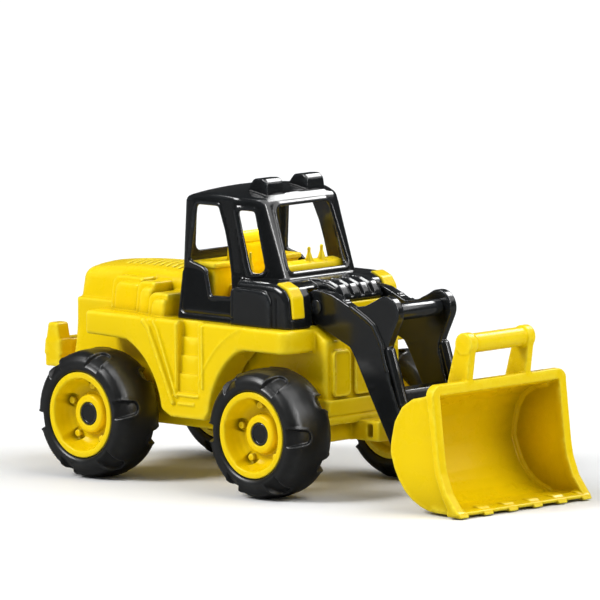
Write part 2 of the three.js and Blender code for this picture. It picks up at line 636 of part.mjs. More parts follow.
for (const [sideName, side] of [['left', 1], ['right', -1]]) {
  addPart(`loader_arm_${sideName}`, loaderArm(side), BLACK);
  addPart(`pivot_cap_${sideName}`, pivotCap(side), BLACK);
  addPart(`bucket_pin_${sideName}`, bucketPin(side), BLACK);
}
addPart('tube_screw', armScrew(LUG), STEEL);
addPart('beam_screw', armScrew(BEAM_SCREW), STEEL);
addPart('arm_cross_tube', crossTube(), BLACK);
addPart('arm_cross_beam', crossBeam(), BLACK);
addPart('arm_pivot_rod', pivotRod(), STEEL);
addPart('bucket', bucket(), YELLOW);
chassisScrewPlaces().forEach(([x, y], i) => addPart(`chassis_screw_${i + 1}`, chassisScrew(x, y), STEEL));

export default loader;
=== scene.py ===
"""Looks of the toy front loader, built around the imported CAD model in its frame.

Each moulding is a field of distances in millimetres, negative inside the plastic, that is
meshed with OpenVDB, so its edges are rounded as moulded edges are. X is measured forward of
the front axle, as in the CAD source, and pieces are placed in metres.
"""
import math
from concurrent.futures import ThreadPoolExecutor

import bpy
import numpy as np
import openvdb
from mathutils import Matrix, Vector


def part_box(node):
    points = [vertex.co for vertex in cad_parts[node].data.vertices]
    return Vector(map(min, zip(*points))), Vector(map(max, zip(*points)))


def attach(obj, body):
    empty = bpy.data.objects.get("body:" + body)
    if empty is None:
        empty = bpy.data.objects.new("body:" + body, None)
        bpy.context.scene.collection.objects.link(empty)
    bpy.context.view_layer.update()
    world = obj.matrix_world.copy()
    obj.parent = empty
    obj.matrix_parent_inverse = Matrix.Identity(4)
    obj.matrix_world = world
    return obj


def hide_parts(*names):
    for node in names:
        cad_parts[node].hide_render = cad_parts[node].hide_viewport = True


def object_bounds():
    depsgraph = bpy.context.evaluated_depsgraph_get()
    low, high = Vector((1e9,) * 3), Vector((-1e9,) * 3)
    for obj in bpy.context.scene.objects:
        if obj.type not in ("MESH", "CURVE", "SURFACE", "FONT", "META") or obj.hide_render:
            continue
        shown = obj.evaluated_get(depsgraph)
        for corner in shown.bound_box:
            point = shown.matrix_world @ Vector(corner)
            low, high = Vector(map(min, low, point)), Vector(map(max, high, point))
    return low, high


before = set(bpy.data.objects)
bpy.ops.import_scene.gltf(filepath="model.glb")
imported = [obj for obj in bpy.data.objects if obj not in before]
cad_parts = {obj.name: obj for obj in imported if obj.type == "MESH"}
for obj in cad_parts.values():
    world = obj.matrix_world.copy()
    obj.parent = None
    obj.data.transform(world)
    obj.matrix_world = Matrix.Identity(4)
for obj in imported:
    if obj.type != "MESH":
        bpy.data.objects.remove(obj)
cad_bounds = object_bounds()

# ---------------------------------------------------------------- sizes taken from the frame
MM = 0.001


def middle(node):
    """The middle of a CAD node's box."""
    low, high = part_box(node)
    return (low + high) / 2


FRONT_AXLE = middle("axle_front")
SHIFT_X = FRONT_AXLE.x / MM
AXLE_Z = FRONT_AXLE.z / MM
REAR_AXLE_X = (middle("axle_rear").x - FRONT_AXLE.x) / MM
WHEEL_MID = middle("tyre_front_left").y / MM
TYRE_LOW, TYRE_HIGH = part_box("tyre_front_left")
TYRE_RADIUS = (TYRE_HIGH.z - TYRE_LOW.z) / MM / 2
RIM_RADIUS = 43.5
RIM_FACE = 27.9
BODY_HALF = 96
DECK_Z = 166
COWL_Z = 211
BODY_REAR = -317
SKIRT_REAR = -262
SKIRT_FRONT = 18
HULL_HALF = 53
HULL_LOW, HULL_HIGH = 70, 172
DECK_LOW = 143
ARM_INNER = 33.3
ARM_OUTER = 45
BORE_RADIUS = 5.3
ARM_PIVOT = (13, 187)
LUG = (105, 187)
BUCKET_PIVOT = (130, 52)
SIDES = (("left", 1), ("right", -1))


# ---------------------------------------------------------------- fields of distances
PLANES_AT_ONCE = 6
THREADS = 4
COARSER = 1.0
PROFILES = {}


class Field:
    """A grid of points step mm apart over the box from low to high."""

    def __init__(self, low, high, step):
        step *= COARSER
        self.low = np.array(low, float)
        self.step = step
        count = np.ceil((np.array(high) - self.low) / step).astype(int) + 1
        x, y, z = (np.float32(self.low[i]) + np.float32(step) * np.arange(count[i], dtype=np.float32)
                   for i in range(3))
        self.x = x[:, None, None]
        self.y = y[None, :, None]
        self.z = z[None, None, :]

    def distances(self, shape):
        """shape(x, y, z) on the whole grid, worked out a few planes of y at a time."""
        starts = range(0, self.y.size, PLANES_AT_ONCE)
        # One plane by itself first, so that the threads find the shape's profiles already made.
        shape(self.x, self.y[:, :1], self.z)
        with ThreadPoolExecutor(THREADS) as pool:
            slabs = pool.map(lambda k: shape(self.x, self.y[:, k:k + PLANES_AT_ONCE], self.z), starts)
            return np.concatenate(list(slabs), axis=1)


def both(a, b, r=0.0):
    """What is inside a and b; their common edge is rounded to radius r."""
    if not r:
        return np.maximum(a, b)
    u = a + np.float32(r)
    v = b + np.float32(r)
    return np.minimum(np.maximum(u, v), 0) + np.hypot(np.maximum(u, 0), np.maximum(v, 0)) - np.float32(r)


def either(a, b, r=0.0):
    """What is inside a or b, with a fillet of radius r where they meet."""
    return -both(-a, -b, r)


def less(a, b, r=0.0):
    """a with b cut away."""
    return both(a, -b, r)


def slab(w, low, high):
    """What lies between low and high along w."""
    return np.maximum(np.float32(low) - w, w - np.float32(high))


def line(points, u, v):
    """Distance to an open line through the points."""
    nearest = np.float32(1e12)
    for (au, av), (bu, bv) in zip(points, points[1:]):
        eu, ev = bu - au, bv - av
        wu, wv = u - np.float32(au), v - np.float32(av)
        t = np.clip((wu * eu + wv * ev) / (eu * eu + ev * ev), 0, 1)
        nearest = np.minimum(nearest, (wu - t * eu) ** 2 + (wv - t * ev) ** 2)
    return np.sqrt(nearest).astype(np.float32)


def outline(points, u, v):
    """Signed distance to a closed outline in the plane of u and v."""
    inside = False
    for (au, av), (bu, bv) in zip(points, points[1:] + points[:1]):
        if av != bv:
            crosses = (av <= v) != (bv <= v)
            inside = inside ^ (crosses & (u < au + (v - av) * ((bu - au) / (bv - av))))
    away = line(points + points[:1], u, v)
    return np.where(inside, -away, away)


def profile(points, x, z, rounding=0.0):
    """An outline in the X-Z plane with its corners rounded, worked out once for each grid."""
    step = float(x.flat[1] - x.flat[0])
    key = (tuple(points), rounding, step, x.size, z.size, float(x.flat[0]), float(z.flat[0]))
    if key not in PROFILES:
        passes = round(2 * (rounding / step) ** 2)
        PROFILES[key] = soften(outline(points, x, z), passes, axes=(0, 2))
    return PROFILES[key]


def slope(u, v, a, b):
    """Distance to the left of the line from a to b, so that the inside is to its right."""
    length = math.hypot(b[0] - a[0], b[1] - a[1])
    u, v = u - np.float32(a[0]), v - np.float32(a[1])
    return ((a[1] - b[1]) * u + (b[0] - a[0]) * v) / np.float32(length)


def plane(x, y, z, a, b, c, inside=(-100, 0, 200)):
    """Signed distance to the plane through three points, negative on the side of the point inside."""
    a, b, c = (np.array(p, float) for p in (a, b, c))
    n = np.cross(b - a, c - a)
    n *= -np.sign(n @ (np.array(inside) - a)) / np.linalg.norm(n)
    return (np.float32(n[0]) * (x - np.float32(a[0])) + np.float32(n[1]) * (y - np.float32(a[1]))
            + np.float32(n[2]) * (z - np.float32(a[2])))


def soften(d, passes, axes=(0, 1, 2)):
    """Rounds every edge a little; one pass spreads over about 0.7 of a voxel."""
    for _ in range(passes):
        for axis in axes:
            v = np.moveaxis(d, axis, 0)
            v[1:-1] = (v[:-2] + 2 * v[1:-1] + v[2:]) / 4
    return d


def bead(distance, height, half_width, edge=1.2):
    """How far a flat-topped bead along the zero of distance stands out."""
    t = np.clip((half_width - np.abs(distance)) / edge + 0.5, 0, 1)
    return np.float32(height) * t * t * (3 - 2 * t)


def arc(cx, cz, radius, start, end, steps):
    """Points along an arc, between two angles in degrees."""
    angles = [math.radians(start + (end - start) * i / steps) for i in range(steps + 1)]
    return [(cx + radius * math.cos(a), cz + radius * math.sin(a)) for a in angles]


# ---------------------------------------------------------------- meshes
def sample(d, points):
    """The field at points given in voxels, blended from the eight voxels around each."""
    low = np.clip(np.floor(points).astype(int), 0, np.array(d.shape) - 2)
    f = points - low
    total = 0
    for corner in range(8):
        o = np.array([corner & 1, corner >> 1 & 1, corner >> 2 & 1])
        i, j, k = (low + o).T
        total = total + d[i, j, k] * np.prod(np.where(o, f, 1 - f), axis=1)
    return total


def field_mesh(field, shape, adaptivity=0.06):
    """(points in mm, triangles, quads, normals) of the surface of shape(x, y, z)."""
    d = soften(np.ascontiguousarray(field.distances(shape), np.float32), 1)
    grid = openvdb.FloatGrid(3.0)
    grid.copyFromArray(np.clip(d / field.step, -3, 3))
    points, triangles, quads = grid.convertToPolygons(0.0, adaptivity)
    points = points.astype(float)
    gradient = np.stack([sample(d, points + e) - sample(d, points - e) for e in np.eye(3) * 0.7], 1)
    normals = gradient / np.maximum(np.linalg.norm(gradient, axis=1), 1e-9)[:, None]
    return points * field.step + field.low, triangles, quads, normals


def to_frame(points, x=0.0, y=0.0, z=0.0):
    """Points in mm from the front axle, moved by x, y and z, as metres in the frame."""
    return (points + np.array([x + SHIFT_X, y, z])) * MM


def add_mesh(name, points, triangles, quads, normals=None):
    """A mesh object from points in metres."""
    mesh = bpy.data.meshes.new(name)
    corners = np.concatenate([triangles.ravel(), quads.ravel()]).astype(np.int32)
    starts = np.concatenate([3 * np.arange(len(triangles)),
                             3 * len(triangles) + 4 * np.arange(len(quads))]).astype(np.int32)
    mesh.vertices.add(len(points))
    mesh.vertices.foreach_set("co", points.astype(np.float32).ravel())
    mesh.loops.add(len(corners))
    mesh.loops.foreach_set("vertex_index", corners)
    mesh.polygons.add(len(starts))
    mesh.polygons.foreach_set("loop_start", starts)
    mesh.update(calc_edges=True)
    mesh.validate()
    mesh.shade_smooth()
    if normals is not None and len(mesh.vertices) == len(normals):
        mesh.normals_split_custom_set_from_vertices(normals.astype(np.float32))
    piece = bpy.data.objects.new(name, mesh)
    bpy.context.scene.collection.objects.link(piece)
    return piece


def dress(piece, body, node, finish):
    """The piece rides on a body, stands for a CAD node and gets the material of its finish."""
    slot, material = finish
    piece.data.materials.append(material)
    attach(piece, body)
    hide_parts(node)


def moulding(name, body, node, finish, field, shape):
    """A finished piece from the surface of a shape."""
    points, triangles, quads, normals = field_mesh(field, shape)
    dress(add_mesh(name, to_frame(points), triangles, quads, normals), body, node, finish)


def turned_mesh(section, segments=72):
    """Points, triangles and quads of a section of (radius, y) turned about Y, from axis to axis."""
    angles = 2 * np.pi * np.arange(segments) / segments
    rings = [np.stack([r * np.cos(angles), np.full(segments, y), r * np.sin(angles)], 1)
             for r, y in section[1:-1]]
    points = np.concatenate([[[0, section[0][1], 0]], *rings, [[0, section[-1][1], 0]]])
    here = np.arange(segments)
    after = (here + 1) % segments
    quads = [np.stack([1 + k * segments + here, 1 + k * segments + after,
                       1 + (k + 1) * segments + after, 1 + (k + 1) * segments + here], 1)
             for k in range(len(rings) - 1)]
    last = 1 + (len(rings) - 1) * segments
    first_cap = np.stack([np.zeros(segments, int), 1 + after, 1 + here], 1)
    last_cap = np.stack([np.full(segments, len(points) - 1), last + here, last + after], 1)
    return points, np.concatenate([first_cap, last_cap]), np.concatenate(quads)


def rounded_rod(radius, low, high, bevel):
    """The section of a round bar along Y with rounded ends."""
    start = [(radius - bevel + bevel * math.sin(a), low + bevel - bevel * math.cos(a))
             for a in np.linspace(0, math.pi / 2, 5)]
    end = [(radius - bevel + bevel * math.cos(a), high - bevel + bevel * math.sin(a))
           for a in np.linspace(0, math.pi / 2, 5)]
    return [(0, low), *start, *end, (0, high)]


def rod(name, body, node, finish, section, x, z, y=0.0):
    """A turned piece with its axis along Y."""
    points, triangles, quads = turned_mesh(section)
    if section[-1][1] > section[0][1]:
        triangles, quads = triangles[:, ::-1], quads[:, ::-1]
    piece = add_mesh(name, to_frame(points, x, y, z), triangles, quads)
    flat_ends(piece)
    dress(piece, body, node, finish)


def flat_ends(piece, sharp_angle=50):
    """Keeps hard edges hard on a smooth-shaded mesh."""
    piece.data.set_sharp_from_angle(angle=math.radians(sharp_angle))


# ---------------------------------------------------------------- materials
def nodes_of(name):
    """A new material with its node tree and its shader."""
    material = bpy.data.materials.new(name)
    material.use_nodes = True
    tree = material.node_tree
    return material, tree, tree.nodes["Principled BSDF"]


def link(tree, a, out, b, socket):
    tree.links.new(a.outputs[out], b.inputs[socket])


def noise(tree, coords, scale, detail=4.0, roughness=0.5):
    """Noise with about scale spots to the metre."""
    node = tree.nodes.new("ShaderNodeTexNoise")
    node.inputs["Scale"].default_value = scale
    node.inputs["Detail"].default_value = detail
    node.inputs["Roughness"].default_value = roughness
    link(tree, coords, "Object", node, "Vector")
    return node


def ramp(tree, source, out, stops):
    """A colour ramp on a node's output; each stop is a position and a colour."""
    node = tree.nodes.new("ShaderNodeValToRGB")
    first, last = node.color_ramp.elements
    first.position, first.color = stops[0]
    last.position, last.color = stops[-1]
    for position, color in stops[1:-1]:
        node.color_ramp.elements.new(position).color = color
    link(tree, source, out, node, "Fac")
    return node


def grey(value):
    return (value, value, value, 1)


def mixed(tree, factor, a, b, blend="MIX"):
    """A colour mix of a and b, each a node or a colour; factor is a node's output or a number."""
    node = tree.nodes.new("ShaderNodeMix")
    node.data_type = "RGBA"
    node.blend_type = blend
    if isinstance(factor, (int, float)):
        node.inputs["Factor"].default_value = factor
    else:
        tree.links.new(factor, node.inputs["Factor"])
    for socket, value in ((node.inputs[6], a), (node.inputs[7], b)):
        if isinstance(value, bpy.types.NodeSocket):
            tree.links.new(value, socket)
        else:
            socket.default_value = value
    return node.outputs[2]


def moulded_plastic(name, color, deep, edge, roughness, grain, specular, crease_shade, reach=0.011,
                    tint=(1, 1, 1, 1)):
    """Injection-moulded plastic: slow colour drift, painted shade in creases, painted highlights on convex
    edges, flow marks and a fine skin.
    """
    material, tree, shader = nodes_of(name)
    coords = tree.nodes.new("ShaderNodeTexCoord")
    drift = ramp(tree, noise(tree, coords, 9, 3), "Fac", [(0.35, grey(0)), (0.68, grey(1))])
    base = mixed(tree, drift.outputs["Color"], color, deep)
    # Painted shade: ambient occlusion darkens the base colour in creases and hollows within reach, down to
    # the given darkest value.
    creases = tree.nodes.new("ShaderNodeAmbientOcclusion")
    creases.samples = 6
    creases.inputs["Distance"].default_value = reach
    painted_crease_shade = ramp(tree, creases, "AO", [(0.35, grey(crease_shade)), (0.9, grey(1))])
    base = mixed(tree, 1.0, base, painted_crease_shade.outputs["Color"], "MULTIPLY")
    # Painted highlight: convex edges, found by pointiness and broken up by noise, are lightened towards the
    # edge colour.
    geometry = tree.nodes.new("ShaderNodeNewGeometry")
    edge_highlight_mask = ramp(tree, geometry, "Pointiness", [(0.507, grey(0)), (0.545, grey(1))])
    highlight_breakup = ramp(tree, noise(tree, coords, 160, 6, 0.6), "Fac", [(0.45, grey(0.5)), (0.7, grey(1))])
    painted_edge_highlight = tree.nodes.new("ShaderNodeMath")
    painted_edge_highlight.operation = "MULTIPLY"
    link(tree, edge_highlight_mask, "Color", painted_edge_highlight, 0)
    link(tree, highlight_breakup, "Color", painted_edge_highlight, 1)
    tree.links.new(mixed(tree, painted_edge_highlight.outputs[0], base, edge), shader.inputs["Base Color"])
    gloss = ramp(tree, noise(tree, coords, 38, 5, 0.6), "Fac",
                 [(0.3, grey(roughness * 0.86)), (0.72, grey(roughness * 1.18))])
    link(tree, gloss, "Color", shader, "Roughness")
    skin = noise(tree, coords, grain, 3, 0.55)
    flow = noise(tree, coords, 26, 2, 0.4)
    fine = tree.nodes.new("ShaderNodeBump")
    fine.inputs["Strength"].default_value = 0.03
    fine.inputs["Distance"].default_value = 0.0003
    link(tree, skin, "Fac", fine, "Height")
    broad = tree.nodes.new("ShaderNodeBump")
    broad.inputs["Strength"].default_value = 0.035
    broad.inputs["Distance"].default_value = 0.0012
    link(tree, flow, "Fac", broad, "Height")
    link(tree, fine, "Normal", broad, "Normal")
    link(tree, broad, "Normal", shader, "Normal")
    shader.inputs["Specular IOR Level"].default_value = specular
    shader.inputs["Specular Tint"].default_value = tint
    return material


def brushed_steel():
    """Drawn steel, with fine lines along Y."""
    material, tree, shader = nodes_of("steel")
    coords = tree.nodes.new("ShaderNodeTexCoord")
    stretch = tree.nodes.new("ShaderNodeMapping")
    stretch.inputs["Scale"].default_value = (900, 60, 900)
    link(tree, coords, "Object", stretch, "Vector")
    lines = tree.nodes.new("ShaderNodeTexNoise")
    lines.inputs["Scale"].default_value = 1
    link(tree, stretch, "Vector", lines, "Vector")
    tone = ramp(tree, lines, "Fac", [(0.3, (0.42, 0.43, 0.45, 1)), (0.7, (0.66, 0.67, 0.69, 1))])
    link(tree, tone, "Color", shader, "Base Color")
    gloss = ramp(tree, lines, "Fac", [(0.3, grey(0.24)), (0.7, grey(0.4))])
    link(tree, gloss, "Color", shader, "Roughness")
    bump = tree.nodes.new("ShaderNodeBump")
    bump.inputs["Strength"].default_value = 0.12
    bump.inputs["Distance"].default_value = 0.0001
    link(tree, lines, "Fac", bump, "Height")
    link(tree, bump, "Normal", shader, "Normal")
    shader.inputs["Metallic"].default_value = 1
    return material


# Base colour, drifted colour, painted edge highlight colour, roughness, skin grain and specular level of the
# yellow plastic; each finish then gives its darkest painted crease shade.
YELLOW_LOOK = ((0.92, 0.655, 0.001, 1), (0.885, 0.615, 0.001, 1), (1.0, 0.84, 0.06, 1), 0.28, 2600, 0.24)
YELLOW_TINT = (1.0, 0.85, 0.4, 1)
# A finish is the record's material slot and the material that shows it.
YELLOW = ("yellow_plastic", moulded_plastic("yellow_plastic", *YELLOW_LOOK, 0.45, tint=YELLOW_TINT))
# The bucket is deep, so the painted shade in its creases reaches further.
BUCKET_YELLOW = ("yellow_plastic", moulded_plastic("bucket_yellow_plastic", *YELLOW_LOOK, 0.44, reach=0.055,
                                                   tint=YELLOW_TINT))
# As for the yellow, the third colour is the painted edge highlight and the last number the darkest painted
# crease shade.
BLACK = ("black_plastic", moulded_plastic("black_plastic", (0.0072, 0.0080, 0.0086, 1),
                                          (0.0060, 0.0066, 0.0071, 1), (0.03, 0.034, 0.038, 1),
                                          0.17, 2200, 0.55, 0.6))
RUBBER = ("tyre_plastic", moulded_plastic("tyre_plastic", (0.0085, 0.0090, 0.0088, 1),
                                          (0.0070, 0.0074, 0.0074, 1), (0.035, 0.037, 0.038, 1),
                                          0.34, 1500, 0.5, 0.6))
STEEL = ("steel", brushed_steel())


# ---------------------------------------------------------------- body
SKIRT_OUTLINE = [
    (SKIRT_REAR, DECK_LOW), (SKIRT_REAR, DECK_Z), (SKIRT_FRONT, DECK_Z), (SKIRT_FRONT, DECK_LOW),
    (-40, DECK_LOW),
    *arc(0, AXLE_Z, 90, 123, 173, 12), (-96, 68), (-143, 68),
    *arc(REAR_AXLE_X, AXLE_Z, 83.5, 7, 66, 12),
]
# Steps in the side of the hood: rear X, front X, half width, top Z.
SIDE_BLOCKS = [(-255, -212, 71, 200), (-213, -188, 78, 198), (-189, -162, 85, 189)]
# Steps of the ladder in each skirt, each set further in than the one below: tread Z, depth.
TREADS = [(150, 8.6), (131.5, 6.6), (113, 4.6), (94.5, 2.6)]
LADDER = (-131, -103.5)
# Slanting slots across the top of the hood.
VENT_SLANT = 0.265
VENT_PITCH = 9
VENT_PHASE = 275.75
VENT_HALF = 1.6
# Pockets between the ribs under the tray.
POCKET_PITCH = 24


def hood(x, y, z):
    """The engine cover: sloping sides, rounded shoulders and a crowned top."""
    side = -slope(y, z, (58, 120), (44, 200))
    crown = z - (210.5 - 0.0030 * y * y - 0.00085 * (x + 232) ** 2)
    rear = BODY_REAR - 0.5 - x + 0.03 * (z - 120)
    return both(both(side, crown, 8), both(rear, x + 148), 7)


def side_blocks(x, y, z):
    """Slabs that step outwards on each side of the hood, each with a lower border."""
    found = np.float32(1e3)
    for rear, front, half, top in SIDE_BLOCKS:
        lean = 0.12 * np.clip(z - 168, 0, 40)
        border = both(both(rear - x, z - top, 9), both(x - front, y - half + 4.5 + lean, 2), 2.5)
        pillow = both(both(rear + 8 - x, z - top + 5, 9), both(x - front, y - half + lean, 4), 4)
        raised = either(border, pillow, 0.3)
        found = either(found, both(raised, DECK_Z - 4 - z), 0.3)
    return found


def nose(x, y, z):
    """The front of the hull, with its sloping top, raised panels and lower band."""
    hull = both(both(slab(x, -60, 34), y - HULL_HALF, 4), slab(z, HULL_LOW, HULL_HIGH), 2)
    hull = both(hull, slope(x, z, (8.7, 170), (33.5, 154)), 2)
    band = both(both(both(x - 38.5, y - (HULL_HALF + 2.5), 4), -30 - x), slab(z, HULL_LOW, 95.5), 2)
    band = band + bead(z - 78.5, 1.6, 0.9, 0.8)
    found = either(hull, band, 1)
    for low, high in ((-16, 16), (22, 47)):
        face = both(slab(y, low, high), slab(z, 98, 144.6), 6)
        found = either(found, both(face, slab(x, 20, 37.5), 1), 0.5)
        found = found - bead(face + 1.4, 1.0, 1.2, 0.8) * np.clip((x - 30) / 3, 0, 1)
    middle_nose = both(both(slab(x, -20, 35), y - 30.3, 3), slab(z, 140, 191), 1.5)
    return either(found, middle_nose, 1.5)


def skirt_beads(x, z):
    """How far the beads on the side faces stand out."""
    beads = np.maximum(bead(line([(-178, 163), (-171, 156), (-137.5, 84)], x, z), 3.4, 2.7, 2.4),
                       bead(line([(-164, 163), (-159, 156), (-132.5, 90)], x, z), 2.6, 1.7, 1.6))
    beads = np.maximum(beads, bead(np.hypot(x + 2, z - AXLE_Z) - 108, 0.8, 1.1) * ((x < -38) & (z > 100)))
    beads = np.maximum(beads, bead(x + 96.5, 1.8, 1.4, 1.0) * ((z > 100) & (z < 164)))
    beads = np.maximum(beads, bead(x + 133.5, 1.6, 1.1, 0.8) * ((z > 91) & (z < 164)))
    beads = np.maximum(beads, bead(z - 91.5, 1.8, 1.2, 0.8) * ((x > -137) & (x < -102)))
    return np.maximum(beads, bead(z - 83, 1.4, 1.6, 1.4) * ((x > -131) & (x < -108)))


def skirts(x, y, z):
    """Fenders, wheel arches, the deck and the ladders let into the skirts."""
    plan = both(both(x - SKIRT_FRONT, y - BODY_HALF, 11), SKIRT_REAR - x, 4)
    side = profile(SKIRT_OUTLINE, x, z, 1.5)
    wall = both(both(side, plan, 3), 62 - y)
    deck = both(slab(z, DECK_LOW, DECK_Z), plan, 3.5)
    found = either(wall, deck, 1)
    found = found - skirt_beads(x, z) * np.clip((y - BODY_HALF + 5) / 3, 0, 1)
    beside_ladder = np.minimum(slab(x, -176, -137), slab(x, -91, -60))
    hollow = both(both(side + 4, slab(y, 55, BODY_HALF - 4)), beside_ladder)
    found = less(found, both(hollow, z - (DECK_LOW - 3)))
    for low, depth in TREADS:
        step = both(both(slab(x, *LADDER), slab(z, low, DECK_Z + 9), 1), BODY_HALF - depth - y, 0.8)
        found = less(found, step, 0.4)
    return found


def body_shape(x, across, z):
    """The whole yellow body: hull, skirts, hood and nose, with what is cut out of them."""
    y = np.abs(across)
    hull = both(both(slab(x, BODY_REAR, -20), y - HULL_HALF, 4), slab(z, HULL_LOW, HULL_HIGH), 2)
    waist = both(both(slab(x, -150, -84), y - 64, 4), slab(z, 82, 150))
    found = either(either(skirts(x, y, z), either(hull, waist, 3), 3), nose(x, y, z), 2)
    found = either(found, hood(x, y, z), 2)
    found = either(found, side_blocks(x, y, z), 1.2)
    slant = x + VENT_SLANT * across
    vents = (slant + VENT_PHASE + VENT_PITCH / 2) % VENT_PITCH - VENT_PITCH / 2
    vents = np.abs(vents) - VENT_HALF
    vents = both(vents, both(slab(slant, -280, -180), y - 25, 1), 0.8)
    found = less(found, both(vents, 204 - z), 0.6)
    # The cab covers the middle of the deck, and the arms' rear ends turn beside the nose.
    under_cab = both(slab(x, -149.5, 10), both(y - 70, DECK_Z - 6 - z))
    arm_room = both(np.hypot(x - ARM_PIVOT[0], z - ARM_PIVOT[1]) - 19, slab(y, 31.3, 47))
    return less(less(found, under_cab), arm_room, 0.5)


def body_shell():
    field = Field((-322, -101, 66), (43, 101, 214), 0.8)
    moulding("body_moulding", "chassis", "body_shell", YELLOW, field, body_shape)


def hitch_shape(x, across, z):
    """A rail behind the hull, with a horn at each end and a stem into the hull."""
    y = np.abs(across)
    rail = both(both(slab(x, -366, -343), y - 50, 3), slab(z, 97, 125), 2)
    horn = both(slab(x, -364.5, -344.5) + (z - 125) * 0.2, z - 142, 2.5)
    horn = both(horn, both(slab(y, 33, 50), 110 - z), 2.5)
    stem = both(both(slab(x, -350, -317.3), y - 24, 2), slab(z, 99, 122), 2)
    return either(either(rail, horn, 2), stem, 2)


def rear_hitch():
    field = Field((-369, -53, 94), (-312, 53, 145), 0.6)
    moulding("rear_rail", "chassis", "rear_hitch", YELLOW, field, hitch_shape)


def tray_shape(x, across, z):
    """The underbody with its front tongue and a row of shallow pockets between ribs."""
    y = np.abs(across)
    tray = both(both(slab(x, -313, 29), y - 49.7, 4), slab(z, 52, 81.7), 2)
    tongue = both(both(slab(x, 20, 66), y - 12, 2), slab(z, 52, 73), 2)
    found = either(tray, tongue, 2)
    found = less(found, both(both(slab(x, 50, 57), slab(z, 56, 69), 2), y - 30), 0.8)
    pockets = both(both(slab((x + 290) % POCKET_PITCH, 3, 21), y - 40, 3), z - 54.5, 1)
    return less(found, both(pockets, slab(x, -290, 10)), 0.5)


def chassis_base():
    field = Field((-316, -53, 49), (69, 53, 85), 0.9)
    moulding("underbody_tray", "chassis", "chassis_base", YELLOW, field, tray_shape)


# ---------------------------------------------------------------- wheels
# The tongues' round tips lie this far to each side of the tyre's middle.
TONGUES = 6
TONGUE_TIP = 9.5
TONGUE_RADIUS = 6.6
BOLTS = 5
BOLT_CIRCLE = 28.7
# Profiles are (radius, distance out from the middle of the wheel).
RIM_PROFILE = [
    (4.3, RIM_FACE - 12), (16.6, RIM_FACE - 12), (18.4, RIM_FACE - 12.6), (19.4, RIM_FACE - 14.4),
    (20.4, RIM_FACE - 21), (27, RIM_FACE - 20.2), (31.5, RIM_FACE - 16.6), (34.4, RIM_FACE - 10.5),
    (36.2, RIM_FACE - 2.2), (37.2, RIM_FACE), (RIM_RADIUS, RIM_FACE), (RIM_RADIUS, 0.2), (40.5, 0.2),
    (40.5, RIM_FACE - 6), (36, RIM_FACE - 22), (28, RIM_FACE - 25), (14, RIM_FACE - 26), (9, 0.2), (4.3, 0.2),
]
RIM_BACK_PROFILE = [
    (4.3, -0.2), (9, -0.2), (11, 8 - RIM_FACE), (35, 12 - RIM_FACE), (40.5, 4 - RIM_FACE), (40.5, -0.2),
    (RIM_RADIUS, -0.2), (RIM_RADIUS, -RIM_FACE), (38.5, -RIM_FACE), (34, 8 - RIM_FACE), (12, 5 - RIM_FACE),
    (4.3, 5 - RIM_FACE),
]
TYRE_PROFILE = [
    (RIM_RADIUS + 0.3, 27.2), (46, 29.0), (50, 29.8), (55, 28.8), (60, 25.0), (63.2, 18.5), (64.6, 9),
    (65, 0), (64.6, -9), (63.2, -18.5), (60, -25.0), (55, -28.8), (50, -29.8), (46, -29.0),
    (RIM_RADIUS + 0.3, -27.2),
]
SECTION_STEP = 0.25
SECTION_Y = -33


def turned_section(points, rounding):
    """A table of distances to a profile of (radius, y), for section_at."""
    r = np.arange(0, 70, SECTION_STEP, dtype=np.float32)[:, None]
    y = np.arange(SECTION_Y, -SECTION_Y + SECTION_STEP, SECTION_STEP, dtype=np.float32)[None, :]
    return soften(outline(points, r, y), round(2 * (rounding / SECTION_STEP) ** 2), axes=(0, 1))


def section_at(table, radius, y):
    """The table's distance at each radius and y."""
    u = np.clip(radius / SECTION_STEP, 0, table.shape[0] - 1.001)
    v = np.clip((y - SECTION_Y) / SECTION_STEP, 0, table.shape[1] - 1.001)
    u, v = np.broadcast_arrays(u, v)
    i, j = u.astype(np.int32), v.astype(np.int32)
    fu, fv = u - i, v - j
    low = table[i, j] * (1 - fv) + table[i, j + 1] * fv
    high = table[i + 1, j] * (1 - fv) + table[i + 1, j + 1] * fv
    return (low * (1 - fu) + high * fu).astype(np.float32)


def tongue_recess(along, inward):
    """(depth of the recess, height of its lip) at a place on one side of the tyre.

    along is the distance around the wheel from the tongue's middle line, and inward is the
    distance from its tip towards the rim, over the shoulder and down the side wall.
    """
    tip = TONGUE_RADIUS
    half = tip + 0.10 * np.clip(inward - tip, 0, 40)
    edge = np.where(inward < tip, np.hypot(along, inward - tip) - tip, np.abs(along) - half)
    depth = np.interp(inward, [0, 5, 12, 20, 27, 34], [1.7, 2.1, 3.1, 3.9, 2.8, 0.0])
    inside = np.clip(0.5 - edge / 1.2, 0, 1)
    lip = 1.1 * np.exp(-((edge - 1.6) / 1.0) ** 2) * np.clip((27 - inward) / 6, 0, 1)
    return depth * inside * inside * (3 - 2 * inside), lip


def tyre_shape(turn):
    """A tyre with its axle along Y through the origin; turn is in degrees."""
    table = turned_section(TYRE_PROFILE, 1.2)

    def shape(x, y, z):
        radius = np.hypot(x, z)
        angle = np.degrees(np.arctan2(z, x))
        d = section_at(table, radius, y)
        step = 360 / TONGUES
        for side, phase in ((1, 0), (-1, step / 2)):
            local = (angle - turn - phase + step / 2) % step - step / 2
            inward = side * y - TONGUE_TIP + np.clip(TYRE_RADIUS - radius, 0, 40) * 0.9
            depth, lip = tongue_recess(np.radians(local) * radius, inward)
            d = d + ((depth - lip) * (inward > -4)).astype(np.float32)
        return both(d, RIM_RADIUS + 0.3 - radius)
    return shape


